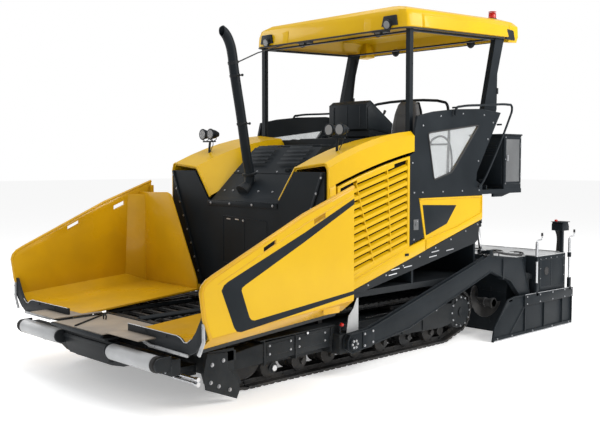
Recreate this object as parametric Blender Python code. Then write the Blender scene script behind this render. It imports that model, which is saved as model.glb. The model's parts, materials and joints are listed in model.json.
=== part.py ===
"""Crawler asphalt paver with its screed down: plain solids, one object for each piece.

Lengths are in metres. +X is the machine's left, +Y its rear, +Z up. Side views are drawn in
stations: metres behind the front end of the tracks' ground contact. MIDDLE is the station of
the machine's middle, which is the model's Y = 0.
"""
import math

import bmesh
import bpy
from mathutils import Matrix, Vector
from mathutils.geometry import convex_hull_2d

# ---- driving dimensions -------------------------------------------------------------------
APRON_FRONT = -1.18
PLATE_REAR = 5.138
MIDDLE = (APRON_FRONT + PLATE_REAR) / 2
TOUCH = 0.0003              # gap between pieces that touch
RUNNING = 0.006             # gap between pieces that move past each other

BODY_HALF = 1.25            # half of the tractor's width
SHEET = 0.03                # sheet metal with its folded edges

TRACK_CONTACT = 2.95
TRACK_WIDTH = 0.31
TRACK_INNER = 0.685         # X of the track's inner edge
TRACK_HEIGHT = 0.60
BELT = 0.07                 # chain and shoe together
SHOE_PITCH = 0.165
SHOE_GAP = 0.018
IDLER_RADIUS = 0.30
TENSION_RADIUS = 0.12
SPROCKET_RADIUS = 0.26
SPROCKET_STATION = TRACK_CONTACT + 0.24
WHEELS = 7                  # road rollers on each side
WHEEL_RADIUS = 0.085
WHEEL_FRONT = 0.30
TROUGH_HALF = 0.66          # half width of the chassis trough

HOPPER_FRONT = -0.95
HOPPER_REAR = 0.735
HOPPER_HALF = 1.63          # half width with the wings down
HOPPER_HINGE = 0.50         # X of the wing's hinge
WING_BEND = HOPPER_HALF - 0.16   # X where the wing's floor turns up
BACK_WALL = 0.56            # station of the wing's rear wall
WALL_DROP = {"left": 0.30, "right": 0.0}   # how much lower the rear wall ends on its inner side
HOPPER_FLOOR = 0.60         # floor height at the wing's front end
HOPPER_SLOPE = 0.075        # rise of the floor for each metre back

TRACTOR_FRONT = 0.765
TRACTOR_REAR = 3.20
PANEL_REAR = 3.283          # station where the body's side panels end
CHASSIS_TOP = 0.80
SHOULDER_RISE = 0.34        # how far the shoulders climb from front to rear
SHOULDER_ARCH = 0.06
SHOULDER_EDGE = 1.815       # lower edge of the shoulder's side, at its front end
DOOR_FRONT = 0.905
DOOR_REAR = 1.98
YELLOW_LOW = 0.857          # lower edge of the yellow side at station 1.244
YELLOW_SLOPE = 0.2762
HOOD_SPLIT = 1.105          # station of the joint between fixed hood and lid
HOOD_CREST = 1.42
HOOD_TOP = 2.24
BULKHEAD = 2.06             # station of the platform's front wall
BULKHEAD_TOP = 2.33
DECK = 1.75                 # height of the platform's floor
PLATFORM_REAR = 3.45
SEAT_X = 0.42
SEAT_STATION = 2.68
SEAT_HEIGHT = 2.09

ROOF_HALF = 1.20
ROOF_FRONT = 1.99
ROOF_REAR = 4.05
ROOF_EDGE = 3.46            # height of the roof's lower edge at its front
ROOF_DEPTH = 0.245
ROOF_SLOPE = 0.032          # the roof rises to the rear
POST = 0.055
POST_X = 1.14
POST_FRONT = BULKHEAD + 0.015
REAR_POST = 0.065           # width of the rear posts
RAIL_REAR = 3.622
RAIL_WIDTH = 0.035
BEACON_TOP = ROOF_EDGE + 0.39

TOW_STATION = 1.07
TOW_HEIGHT = 0.315
ARM_INNER = 1.26
ARM_THICK = 0.07
LIFT_X = 1.17
LIFT_TOP = (3.265, 1.62)    # station and height of the lift cylinder's upper pin
LIFT_EYE = (3.385, 1.03)    # the same for its rod's eye
BARREL_LENGTH = 0.30

AUGER_STATION = 3.67
AUGER_HEIGHT = 0.40
AUGER_RADIUS = 0.18
AUGER_REACH = 1.17

SCREED_HALF = 1.17
SCREED_FRONT = 3.92
SCREED_REAR = 4.36
SCREED_TOP = 0.93
EXTENSION_REAR = 5.02
EXTENSION_END = ARM_INNER + ARM_THICK + 0.005
END_PLATE = 0.04
PLATE_FRONT = 3.361

ROLLER_RADIUS = 0.07
ROLLER_STATION = -1.087
ROLLER_HEIGHT = 0.4375
ROLLER_INNER = 0.452
ROLLER_OUTER = 1.185
SWING_STATION = -0.88       # station of the push beam's upright pin

SIDES = {"left": 1, "right": -1}

COLOURS = {
    "yellow": ((0.93, 0.60, 0.05), 0.35, 0.0),
    "black": ((0.035, 0.038, 0.045), 0.45, 0.0),
    "steel": ((0.16, 0.17, 0.19), 0.5, 0.6),
    "silver": ((0.65, 0.66, 0.68), 0.3, 0.9),
    "white": ((0.85, 0.86, 0.86), 0.5, 0.0),
    "glass": ((0.75, 0.82, 0.84), 0.05, 0.0),
    "seat": ((0.12, 0.12, 0.13), 0.8, 0.0),
    "red": ((0.75, 0.05, 0.04), 0.25, 0.0),
    "rubber": ((0.34, 0.31, 0.27), 0.85, 0.0),
}


# ---- tools --------------------------------------------------------------------------------
def clear_scene():
    for item in list(bpy.data.objects):
        bpy.data.objects.remove(item)


def material(name):
    found = bpy.data.materials.get(name)
    if found:
        return found
    colour, roughness, metallic = COLOURS[name]
    made = bpy.data.materials.new(name)
    made.use_nodes = True
    shader = made.node_tree.nodes["Principled BSDF"]
    shader.inputs["Base Color"].default_value = (*colour, 1.0)
    shader.inputs["Roughness"].default_value = roughness
    shader.inputs["Metallic"].default_value = metallic
    return made


def solid(name, mesh_edit, colour):
    """An object whose closed mesh is already in the model's own frame."""
    bmesh.ops.remove_doubles(mesh_edit, verts=mesh_edit.verts, dist=0.00001)
    bmesh.ops.recalc_face_normals(mesh_edit, faces=mesh_edit.faces)
    mesh = bpy.data.meshes.new(name)
    mesh_edit.to_mesh(mesh)
    mesh_edit.free()
    mesh.materials.append(material(colour))
    piece = bpy.data.objects.new(name, mesh)
    bpy.context.collection.objects.link(piece)
    return piece


def place(x, station, z):
    return Vector((x, station - MIDDLE, z))


def loft(name, rings, colour):
    """Skin a row of rings that hold the same number of (x, station, z) points."""
    edit = bmesh.new()
    rows = [[edit.verts.new(place(*point)) for point in ring] for ring in rings]
    count = len(rows[0])
    for near, far in zip(rows, rows[1:]):
        for i in range(count):
            j = (i + 1) % count
            edit.faces.new((near[i], near[j], far[j], far[i]))
    edit.faces.new(rows[0])
    edit.faces.new(rows[-1])
    return solid(name, edit, colour)


def side_plate(name, outline, low_x, high_x, colour):
    """A plate drawn as (station, z) and thick along X."""
    rings = [[(x, station, z) for station, z in outline] for x in (low_x, high_x)]
    return loft(name, rings, colour)


def cross_plate(name, outline, front, rear, colour):
    """A plate drawn as (x, z) and thick along Y."""
    rings = [[(x, station, z) for x, z in outline] for station in (front, rear)]
    return loft(name, rings, colour)


def floor_plate(name, outline, low, high, colour):
    """A plate drawn as (x, station) and thick along Z."""
    rings = [[(x, station, z) for x, station in outline] for z in (low, high)]
    return loft(name, rings, colour)


def box(name, low, high, colour):
    corners = [(low[1], low[2]), (high[1], low[2]), (high[1], high[2]), (low[1], high[2])]
    return side_plate(name, corners, low[0], high[0], colour)


def round_bar(name, start, end, radius, colour, sides=20):
    """A cylinder between two (x, station, z) points."""
    first = place(*start)
    axis = place(*end) - first
    turn = axis.to_track_quat("Z", "Y").to_matrix().to_4x4()
    middle = Matrix.Translation(first + axis / 2) @ turn
    edit = bmesh.new()
    bmesh.ops.create_cone(edit, cap_ends=True, segments=sides, radius1=radius, radius2=radius,
                          depth=axis.length, matrix=middle)
    return solid(name, edit, colour)


def pipe(name, points, radius, colour, sides=12):
    """A bent round tube through (x, station, z) points."""
    places = [place(*point) for point in points]
    edit = bmesh.new()
    rows = []
    for i, here in enumerate(places):
        before = places[max(i - 1, 0)]
        after = places[min(i + 1, len(places) - 1)]
        along = (after - before).normalized()
        turn = along.to_track_quat("Z", "Y").to_matrix()
        widen = 1.0
        if 0 < i < len(places) - 1:
            widen = 1.0 / max(0.5, along.dot((after - here).normalized()))
        ring = []
        for k in range(sides):
            angle = math.tau * k / sides
            spot = turn @ Vector((math.cos(angle), math.sin(angle), 0)) * radius
            ring.append(edit.verts.new(here + spot * (widen if i else 1.0)))
        rows.append(ring)
    for near, far in zip(rows, rows[1:]):
        for i in range(sides):
            j = (i + 1) % sides
            edit.faces.new((near[i], near[j], far[j], far[i]))
    edit.faces.new(rows[0])
    edit.faces.new(rows[-1])
    return solid(name, edit, colour)


def band(line, thickness):
    """The closed outline of a bent sheet whose outer face follows a line of (a, b) points."""
    points = [Vector(point) for point in line]
    inner = []
    for i, here in enumerate(points):
        before = (here - points[i - 1]).normalized() if i else None
        after = (points[i + 1] - here).normalized() if i + 1 < len(points) else None
        first = before or after
        last = after or before
        normal_in = Vector((-first.y, first.x))
        normal_out = Vector((-last.y, last.x))
        miter = (normal_in + normal_out).normalized()
        inner.append(here + miter * thickness / miter.dot(normal_in))
    return [tuple(point) for point in points] + [tuple(point) for point in reversed(inner)]


def combine(base, others, operation):
    for other in others:
        modifier = base.modifiers.new(operation.lower(), "BOOLEAN")
        modifier.operation = operation
        modifier.solver = "EXACT"
        modifier.object = other
    graph = bpy.context.evaluated_depsgraph_get()
    made = bpy.data.meshes.new_from_object(base.evaluated_get(graph))
    base.modifiers.clear()
    base.data = made
    for other in others:
        bpy.data.objects.remove(other)
    return base


def joined(base, *others):
    return combine(base, others, "UNION")


def cut(base, *others):
    return combine(base, others, "DIFFERENCE")


def hang(point, *pieces):
    """Parent pieces to an empty on their joint's axis."""
    pivot = bpy.data.objects.new(pieces[0].name + "_pivot", None)
    pivot.location = place(*point)
    bpy.context.collection.objects.link(pivot)
    for piece in pieces:
        piece.parent = pivot
        piece.matrix_parent_inverse = Matrix.Translation(-pivot.location)


def floor_at(station):
    """Height of the hopper's floor, which rises to the rear."""
    return HOPPER_FLOOR + HOPPER_SLOPE * (station - HOPPER_FRONT)


# ---- tracks and chassis ---------------------------------------------------------------------
def belt_outline(shrink):
    wheels = (
        (0.0, IDLER_RADIUS, IDLER_RADIUS),
        (TRACK_CONTACT, TENSION_RADIUS, TENSION_RADIUS),
        (SPROCKET_STATION, TRACK_HEIGHT - SPROCKET_RADIUS, SPROCKET_RADIUS),
    )
    points = []
    for station, height, radius in wheels:
        for k in range(24):
            angle = math.tau * k / 24
            reach = radius - shrink
            points.append(Vector((station + reach * math.cos(angle), height + reach * math.sin(angle))))
    return [points[i] for i in convex_hull_2d(points)]


def walk(outline, distance):
    """The point at a distance along a closed outline, and the unit vector into the loop."""
    count = len(outline)
    left = distance
    for i in range(count):
        start = outline[i]
        end = outline[(i + 1) % count]
        length = (end - start).length
        if left <= length:
            along = (end - start) / length
            return start + along * left, Vector((-along.y, along.x))
        left -= length
    return walk(outline, distance - sum_length(outline))


def sum_length(outline):
    return sum((outline[i] - outline[i - 1]).length for i in range(len(outline)))


def shoe_outline():
    outline = belt_outline(0.0)
    middle = sum(outline, Vector((0, 0))) / len(outline)
    total = sum_length(outline)
    count = round(total / SHOE_PITCH)
    pitch = total / count
    points = []
    for i in range(count):
        for share, depth in ((0, 0), (1 - SHOE_GAP / pitch, 0), (1 - SHOE_GAP / pitch, 1), (1, 1)):
            spot, inward = walk(outline, (i + share) * pitch * 0.99999)
            if inward.dot(middle - spot) < 0:
                inward = -inward
            points.append(spot + inward * depth * SHOE_GAP)
    return [tuple(point) for point in points]


def make_track(side, sign):
    outer = TRACK_INNER + TRACK_WIDTH
    track = side_plate(f"track_{side}", shoe_outline(), sign * TRACK_INNER, sign * outer, "steel")
    hole = side_plate("hole", [tuple(p) for p in belt_outline(BELT)],
                      sign * (TRACK_INNER - 0.1), sign * (outer + 0.1), "steel")
    return cut(track, hole)


def make_track_frame(side, sign):
    inner = TROUGH_HALF + TOUCH
    outer = TRACK_INNER + TRACK_WIDTH
    low = TRACK_INNER + 0.03
    high = outer - 0.03
    rear = TRACK_CONTACT + 0.10
    beam = side_plate(f"track_frame_{side}", [(-0.1, 0.22), (rear, 0.22), (rear, 0.44), (-0.1, 0.44)],
                      sign * inner, sign * (outer + 0.02), "black")
    wheels = []
    centre = BELT + TOUCH + WHEEL_RADIUS
    for i in range(WHEELS):
        station = WHEEL_FRONT + i * (TRACK_CONTACT - 0.55) / (WHEELS - 1)
        wheels.append(round_bar("roller", (sign * low, station, centre), (sign * high, station, centre),
                                WHEEL_RADIUS, "steel", 16))
    for station, radius in ((0.0, IDLER_RADIUS), (SPROCKET_STATION, SPROCKET_RADIUS)):
        height = radius if station == 0.0 else TRACK_HEIGHT - radius
        wheels.append(round_bar("wheel", (sign * (low + 0.02), station, height),
                                (sign * (high - 0.02), station, height),
                                (radius - BELT) * 0.985, "steel", 24))
    front_box = side_plate("front_box", [(-0.08, 0.25), (0.98, 0.29), (0.98, 0.48), (-0.06, 0.41)],
                           sign * (outer + 0.01), sign * (outer + 0.155), "black")
    rear_box = box("rear_box", (sign * (outer + 0.01), 1.95, 0.21), (sign * (outer + 0.10), rear, 0.47),
                   "black")
    drive_height = TRACK_HEIGHT - SPROCKET_RADIUS + 0.02
    hub = SPROCKET_STATION - 0.09
    drive = round_bar("drive", (sign * (outer + 0.006), hub, drive_height),
                      (sign * (outer + 0.105), hub, drive_height), 0.19, "black", 24)
    tow = box("tow", (sign * (outer + 0.02), 0.95, 0.20), (sign * (ARM_INNER - RUNNING), 1.40, 0.40),
              "black")
    scale = box("scale", (sign * 1.195, 1.08, 0.38), (sign * 1.212, 1.25, 0.735), "black")
    return joined(beam, *wheels, front_box, rear_box, drive, tow, scale)


def make_chassis():
    half = TROUGH_HALF
    wall = 0.06
    trough = [(-half, 0.56), (-half, 0.24), (half, 0.24), (half, 0.56), (half - wall, 0.56),
              (half - wall, 0.24 + wall), (-half + wall, 0.24 + wall), (-half + wall, 0.56)]
    frame = cross_plate("main_frame", trough, -0.60, TRACTOR_REAR, "black")
    upper = 0.74
    wide = BODY_HALF - SHEET - TOUCH
    gantry = [(-half, 0.55), (-half, upper), (-wide, upper), (-wide, CHASSIS_TOP), (wide, CHASSIS_TOP),
              (wide, upper), (half, upper), (half, 0.55), (half - wall, 0.55), (half - wall, upper),
              (-half + wall, upper), (-half + wall, 0.55)]
    cover = cross_plate("cover", gantry, TRACTOR_FRONT + 0.03, TRACTOR_REAR, "black")
    nose = floor_plate("nose", [(-0.5, -0.55), (-0.5, -0.76), (-0.12, -0.81), (0.12, -0.81), (0.5, -0.76),
                                (0.5, -0.55)], 0.24, 0.47, "black")
    guards = []
    for sign in SIDES.values():
        low, high = sorted((sign * 0.62, sign * 1.18))
        guards.append(box("cross", (low, -0.58, 0.26), (high, -0.38, 0.46), "black"))
        guards.append(side_plate("guard", [(-0.66, 0.30), (-0.63, 0.20), (-0.35, 0.05), (-0.325, 0.24),
                                           (-0.325, 0.47), (-0.60, 0.47)], sign * 1.17, sign * 1.20, "black"))
    return joined(frame, cover, nose, *guards)


def make_conveyor(side, sign):
    thick = 0.12
    top = 0.565
    outline = []
    for centre, start in ((-0.45, math.pi / 2), (3.10, -math.pi / 2)):
        for k in range(7):
            angle = start + math.pi * k / 6
            outline.append((centre + thick / 2 * math.cos(angle),
                            top - thick / 2 + thick / 2 * math.sin(angle)))
    return side_plate(f"conveyor_{side}", outline, sign * 0.03, sign * 0.55, "steel")


def make_engine():
    return box("engine_block", (-0.42, 0.95, CHASSIS_TOP + TOUCH), (0.42, 1.95, 1.50), "steel")


# ---- hopper ---------------------------------------------------------------------------------
def wing_ring(low_station, top_station, top, sign):
    """Cross-section of the wing's bent sheet; its front edge leans forward to the top."""
    low = floor_at(low_station)
    outside = [(HOPPER_HINGE, low - SHEET), (WING_BEND, low - SHEET), (HOPPER_HALF, low + 0.10),
               (HOPPER_HALF, top)]
    ring = []
    for x, z in band(outside, SHEET):
        share = max(0.0, (z - low) / (top - low))
        ring.append((sign * x, low_station + (top_station - low_station) * share, z))
    return ring


def make_wing(side, sign):
    rings = [wing_ring(low_station, top_station, top, sign) for low_station, top_station, top in (
        (-0.895, -0.994, 1.046), (-0.86, HOPPER_FRONT, 1.144), (0.112, 0.112, 1.619),
        (HOPPER_REAR, HOPPER_REAR, 1.845))]
    wing = loft(f"wing_{side}", rings, "yellow")
    low = floor_at(0.57)
    inside = HOPPER_HALF - SHEET / 2
    back = cross_plate("back", [(sign * x, z) for x, z in (
        (HOPPER_HINGE, low - 0.01), (WING_BEND, low - 0.01), (inside, low + 0.11), (inside, 1.73),
        (WING_BEND, 1.69), (HOPPER_HINGE + 0.50, 1.73 - WALL_DROP[side]), (HOPPER_HINGE + 0.02, low + 0.10),
        (HOPPER_HINGE, low + 0.06))],
        BACK_WALL, BACK_WALL + SHEET, "yellow")
    low = floor_at(HOPPER_FRONT)
    front = cross_plate("front", [(sign * x, z) for x, z in (
        (HOPPER_HINGE, low - 0.04), (WING_BEND - 0.01, low - 0.04), (inside, low + 0.09), (inside, 0.86),
        (inside - 0.045, 0.84), (WING_BEND - 0.335, 0.675), (HOPPER_HINGE, 0.675))],
        -0.93, -0.875, "black")
    return joined(wing, back, front)


def make_apron():
    half = HOPPER_HINGE - 0.06
    return floor_plate("apron", [(-half, -0.555), (half, -0.555), (half, APRON_FRONT),
                                 (-half, APRON_FRONT)],
                       0.572, 0.592, "rubber")


def make_push_beam():
    beam = box("push_beam", (-1.22, -0.99, 0.33), (1.22, -0.90, 0.47), "black")
    centre = box("centre", (-0.40, -1.06, 0.30), (0.40, -0.98, 0.50), "black")
    tongue = round_bar("tongue", (0, SWING_STATION, 0.35), (0, SWING_STATION, 0.45), 0.05, "black", 16)
    ears = []
    for sign in SIDES.values():
        for x in (ROLLER_INNER - RUNNING - 0.02, ROLLER_OUTER + RUNNING):
            low, high = sorted((sign * x, sign * (x + 0.02)))
            ears.append(box("ear", (low, ROLLER_STATION - 0.045, 0.39), (high, -0.98, 0.46), "black"))
    return joined(beam, centre, tongue, *ears)


def make_push_roller(side, sign):
    return round_bar(f"push_roller_{side}", (sign * ROLLER_INNER, ROLLER_STATION, ROLLER_HEIGHT),
                     (sign * ROLLER_OUTER, ROLLER_STATION, ROLLER_HEIGHT), ROLLER_RADIUS, "white", 24)


# ---- tractor bodywork -----------------------------------------------------------------------
def body_share(station):
    return (station - TRACTOR_FRONT) / (BULKHEAD - TRACTOR_FRONT)


def shoulder_rise(station):
    """The shoulders climb to the rear in a low arch."""
    share = body_share(station)
    return SHOULDER_RISE * share + SHOULDER_ARCH * 4 * share * (1 - share)


def shoulder_edge(station):
    """Height of the shoulder side's lower edge, over the door."""
    share = body_share(station)
    return SHOULDER_EDGE + 0.365 * share + 0.03 * 4 * share * (1 - share)


def shoulder_ring(station, sign):
    rise = shoulder_rise(station)
    line = [(BODY_HALF, shoulder_edge(station)), (BODY_HALF, 2.0 + rise), (1.20, 2.05 + rise),
            (0.80, 2.01 + rise), (0.562, 1.69 + rise)]
    return [(sign * x, station, z) for x, z in band(line, SHEET)]


def make_shoulder(side, sign):
    front = TRACTOR_FRONT + 0.03
    steps = 6
    stations = [front + (BULKHEAD - TOUCH - front) * k / steps for k in range(steps + 1)]
    top = loft(f"shoulder_{side}", [shoulder_ring(station, sign) for station in stations], "yellow")
    strip = side_plate("strip", [(front, 0.82), (DOOR_FRONT - 0.02, 0.82), (DOOR_FRONT - 0.02, 1.87),
                                 (front, 1.85)], sign * (BODY_HALF - SHEET), sign * BODY_HALF, "yellow")
    return joined(top, strip)


def hood_shell(name, line, front_low, rear_low):
    """A lid folded over the top and both sides, drawn by its (station, z) top line."""
    half = 0.54
    front = line[0][0]
    rear = line[-1][0]
    shell = side_plate(name, [*line, (rear, rear_low), (front, front_low)], -half, half, "black")
    thick = 1.2 * SHEET
    under = [(front - 0.1, line[0][1] - thick), *[(station, z - thick) for station, z in line],
             (rear + 0.1, line[-1][1] - thick), (rear + 0.1, 1.2), (front - 0.1, 1.2)]
    return cut(shell, side_plate("under", under, 0.02 - half, half - 0.02, "black"))


def make_front_wall():
    outline = [(-1.216, 1.975), (-0.80, 1.975), (-0.562, 1.66), (0.562, 1.66), (0.80, 1.975),
               (1.216, 1.975), (1.216, CHASSIS_TOP + 0.3), (0.66, 0.60), (0.66, CHASSIS_TOP + TOUCH),
               (-0.66, CHASSIS_TOP + TOUCH), (-0.66, 0.60), (-1.216, CHASSIS_TOP + 0.3)]
    wall = cross_plate("front_wall", outline, TRACTOR_FRONT, TRACTOR_FRONT + 0.03 - TOUCH, "black")
    front = TRACTOR_FRONT + 0.02
    rear = HOOD_SPLIT - 0.01
    line = [(front, 1.66), (front + 0.05, 1.70), (rear, 1.94)]
    hood = hood_shell("hood_front", line, 1.60, 1.69 + shoulder_rise(rear))
    return joined(wall, hood)


def make_hood():
    rear = BULKHEAD - 0.02
    line = [(HOOD_SPLIT, 1.95), (HOOD_CREST, HOOD_TOP - 0.01), (rear, HOOD_TOP)]
    return hood_shell("hood", line, 1.69 + shoulder_rise(HOOD_SPLIT), 1.69 + shoulder_rise(rear))


def yellow_low(station):
    """Lower edge of the yellow side panels, which climbs to the rear."""
    return YELLOW_LOW + YELLOW_SLOPE * (station - 1.244)


def make_louvre_door(side, sign):
    gap = 0.035
    outline = [(DOOR_FRONT, CHASSIS_TOP), (1.045, CHASSIS_TOP + 0.002), (2.25, yellow_low(2.25)),
               (2.235, yellow_low(2.235) + 0.13), (DOOR_REAR, 1.195)]
    for k in range(4, -1, -1):
        station = DOOR_FRONT + (DOOR_REAR - DOOR_FRONT) * k / 4
        outline.append((station, shoulder_edge(station) - gap))
    return side_plate(f"louvre_door_{side}", outline, sign * (BODY_HALF - SHEET), sign * (BODY_HALF + 0.01),
                      "yellow")


def make_skirt(side, sign):
    gap = 0.008
    outline = [(1.10, yellow_low(1.10) - gap), (1.261, 0.794), (3.154, 1.155), (3.215, 1.19),
               (3.24, yellow_low(3.24) - gap)]
    return side_plate(f"skirt_{side}", outline, sign * (BODY_HALF - SHEET), sign * BODY_HALF, "black")


def make_side_rear(side, sign):
    gap = 0.008
    outline = [(2.25 + gap, yellow_low(2.25 + gap)), (PANEL_REAR, yellow_low(PANEL_REAR)),
               (PANEL_REAR, 1.69 - TOUCH), (2.145, 1.69 - TOUCH), (2.235 + gap, yellow_low(2.235) + 0.135)]
    return side_plate(f"rear_side_panel_{side}", outline, sign * (BODY_HALF - SHEET), sign * BODY_HALF,
                      "yellow")


def make_platform():
    half = BODY_HALF - SHEET - TOUCH
    inner = TROUGH_HALF
    tail = 4.17
    deck = floor_plate("platform_deck", [(-half, BULKHEAD), (half, BULKHEAD), (half, PLATFORM_REAR),
                                         (1.20, PLATFORM_REAR), (1.20, tail), (inner, tail),
                                         (inner, PLATFORM_REAR), (-inner, PLATFORM_REAR), (-inner, tail),
                                         (-1.20, tail), (-1.20, PLATFORM_REAR), (-half, PLATFORM_REAR)],
                       DECK - 0.05, DECK, "black")
    wall = box("wall", (-half, BULKHEAD, CHASSIS_TOP + TOUCH), (half, BULKHEAD + SHEET, BULKHEAD_TOP),
               "black")
    back = box("back", (-half, TRACTOR_REAR - SHEET, CHASSIS_TOP + TOUCH), (half, TRACTOR_REAR, DECK - 0.02),
               "black")
    extras = []
    for sign in SIDES.values():
        x = sign * SEAT_X
        extras.append(box("pedestal", (x - 0.14, SEAT_STATION - 0.14, DECK - 0.02),
                          (x + 0.14, SEAT_STATION + 0.14, SEAT_HEIGHT - 0.01), "black"))
        low, high = sorted((sign * 0.70, sign * 1.195))
        extras.append(box("cabinet", (low, 3.80, DECK - 0.02), (high, tail - 0.005, 2.385), "black"))
    return joined(deck, wall, back, *extras)


def window_outline(shrink=0.0):
    """The window's corners, drawn towards its middle by a share of their distance."""
    corners = [Vector(corner) for corner in ((2.281, 2.375), (3.203, 2.485), (2.708, 1.961), (2.391, 1.878))]
    centre = sum(corners, Vector((0, 0))) / len(corners)
    return [tuple(corner.lerp(centre, shrink)) for corner in corners]


def make_side_panel(side, sign):
    front = BULKHEAD + TOUCH
    low = 1.69
    outline = [(DOOR_REAR + 0.008, 1.205), (2.228, yellow_low(2.235) + 0.145), (2.137, low),
               (PANEL_REAR, low), (PANEL_REAR, 1.80), (3.165, 1.86), (3.172, 1.949), (3.485, 2.418), (3.634, 2.635),
               (3.261, 2.659), (2.746, 2.634), (2.385, 2.595), (2.108, 2.542), (front, 2.36),
               (front, 2.17), (DOOR_REAR + 0.008, 2.14)]
    panel = side_plate(f"side_panel_{side}", outline, sign * (BODY_HALF - SHEET), sign * BODY_HALF, "black")
    hole = side_plate("hole", window_outline(), sign * (BODY_HALF - 0.2), sign * (BODY_HALF + 0.2), "black")
    return cut(panel, hole)


def make_side_window(side, sign):
    middle = BODY_HALF - SHEET / 2
    return side_plate(f"side_window_{side}", window_outline(0.0033), sign * (middle - 0.004),
                      sign * (middle + 0.004), "glass")


def make_console():
    front = BULKHEAD + 0.012
    outline = [(front, 2.345), (2.46, 2.345), (2.48, 2.50), (2.10, 2.745), (2.03, 2.70), (2.03, 2.43),
               (front, 2.405)]
    return side_plate("console", outline, 0.03, 0.60, "black")


def make_seat(side, sign):
    x = sign * SEAT_X
    height = SEAT_HEIGHT
    cushion = box(f"seat_cushion_{side}", (x - 0.24, SEAT_STATION - 0.26, height),
                  (x + 0.24, SEAT_STATION + 0.24, height + 0.13), "seat")
    foot = SEAT_STATION + 0.16
    back = side_plate(f"seat_back_{side}", [(foot, height + 0.132), (foot + 0.12, height + 0.132),
                                            (foot + 0.19, 2.80), (foot + 0.09, 2.80)],
                      x - 0.21, x + 0.21, "seat")
    return cushion, back


def roof_height(station):
    return ROOF_EDGE + ROOF_SLOPE * (station - ROOF_FRONT)


def roof_ring(inset, rear_inset, lift):
    half = ROOF_HALF - inset
    front = ROOF_FRONT + inset * 0.6
    rear = ROOF_REAR - rear_inset
    plan = [(-half + 0.09, front), (half - 0.09, front), (half, front + 0.12), (half, rear),
            (-half, rear), (-half, front + 0.12)]
    return [(x, station, roof_height(station) + lift) for x, station in plan]


def make_roof():
    rings = [roof_ring(0.0, 0.0, 0.0), roof_ring(0.015, 0.02, 0.14), roof_ring(0.17, 0.12, ROOF_DEPTH)]
    roof = loft("roof", rings, "yellow")
    edge = 0.09
    half = ROOF_HALF - edge
    rings = []
    for lift in (-0.1, 0.10):
        rings.append([(x, station, roof_height(station) + lift) for x, station in (
            (-half, ROOF_FRONT + edge), (half, ROOF_FRONT + edge), (half, ROOF_REAR - edge),
            (-half, ROOF_REAR - edge))])
    return cut(roof, loft("hollow", rings, "yellow"))


def make_posts(side, sign):
    """A straight front post and a bent rear post, both standing on the platform's walls."""
    inner = POST_X - POST / 2
    front = side_plate(f"canopy_front_post_{side}", [
        (POST_FRONT, BULKHEAD_TOP + TOUCH), (POST_FRONT + POST, BULKHEAD_TOP + TOUCH),
        (POST_FRONT + POST, roof_height(POST_FRONT + POST) - TOUCH),
        (POST_FRONT, roof_height(POST_FRONT) - TOUCH)], sign * inner, sign * (inner + POST), "black")
    rear = [(3.16, DECK + TOUCH), (3.26, DECK + TOUCH), (3.26, 1.98), (3.60, 2.55), (3.665, 2.68),
            (3.669, 3.09), (3.80, roof_height(3.80) - TOUCH), (3.631, roof_height(3.631) - TOUCH),
            (3.42, 2.70), (3.16, 1.95)]
    inner = POST_X - REAR_POST / 2
    bent = side_plate(f"canopy_rear_post_{side}", rear, sign * inner, sign * (inner + REAR_POST), "black")
    return front, bent


def make_canopy_frame():
    """Side rails between the posts, tied across at front and rear."""
    front = POST_FRONT + POST + TOUCH
    parts = []
    for sign in SIDES.values():
        rail = [(front, roof_height(front) - 0.032), (RAIL_REAR, roof_height(RAIL_REAR) - 0.032),
                (RAIL_REAR, roof_height(RAIL_REAR) - 0.008), (front, roof_height(front) - 0.008)]
        inner = POST_X - RAIL_WIDTH / 2
        parts.append(side_plate("canopy_frame", rail, sign * inner, sign * (inner + RAIL_WIDTH), "black"))
    for station in (front + 0.03, RAIL_REAR - 0.03):
        height = roof_height(station)
        parts.append(box("tie", (-POST_X, station - 0.018, height - 0.030),
                         (POST_X, station + 0.018, height - 0.013), "black"))
    return joined(*parts)


def make_exhaust():
    return pipe("exhaust", [(-0.10, 0.978, 1.91), (-0.10, 0.745, 3.12), (-0.10, 0.70, 3.30),
                            (-0.10, 0.63, 3.42)], 0.055, "black", 16)


def make_lamps(side, sign):
    x = sign * 1.02
    foot = 2.0 + shoulder_rise(1.14) + 0.05
    mast = box(f"work_lamps_{side}", (x - 0.02, 1.12, foot), (x + 0.02, 1.16, 2.34), "black")
    lamps = [round_bar("lamp", (x + offset, 1.10, 2.386), (x + offset, 1.20, 2.386), 0.06, "black", 16)
             for offset in (-0.07, 0.07)]
    bar = box("bar", (x - 0.12, 1.13, 2.30), (x + 0.12, 1.17, 2.36), "black")
    return joined(mast, bar, *lamps)


def make_beacon():
    station = 3.88
    foot = roof_height(station + 0.05) + ROOF_DEPTH + TOUCH
    return round_bar("beacon", (0.95, station, foot), (0.95, station, BEACON_TOP), 0.05, "red", 16)


# ---- auger ----------------------------------------------------------------------------------
def make_auger(side, sign):
    steps_a_turn = 12
    turns = 3
    start = 0.12
    pitch = (AUGER_REACH - 0.04 - start) / turns
    shaft = round_bar(f"auger_{side}", (sign * (start - 0.02), AUGER_STATION, AUGER_HEIGHT),
                      (sign * AUGER_REACH, AUGER_STATION, AUGER_HEIGHT), 0.05, "steel", 16)
    rings = []
    for k in range(steps_a_turn * turns + 1):
        angle = math.tau * k / steps_a_turn
        x = start + pitch * k / steps_a_turn
        ring = []
        for radius, offset in ((0.03, 0.0), (AUGER_RADIUS, 0.0), (AUGER_RADIUS, 0.02), (0.03, 0.02)):
            ring.append((sign * (x + offset), AUGER_STATION + radius * math.cos(angle),
                         AUGER_HEIGHT + radius * math.sin(angle)))
        rings.append(ring)
    flight = loft("flight", rings, "steel")
    return joined(shaft, flight)


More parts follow.
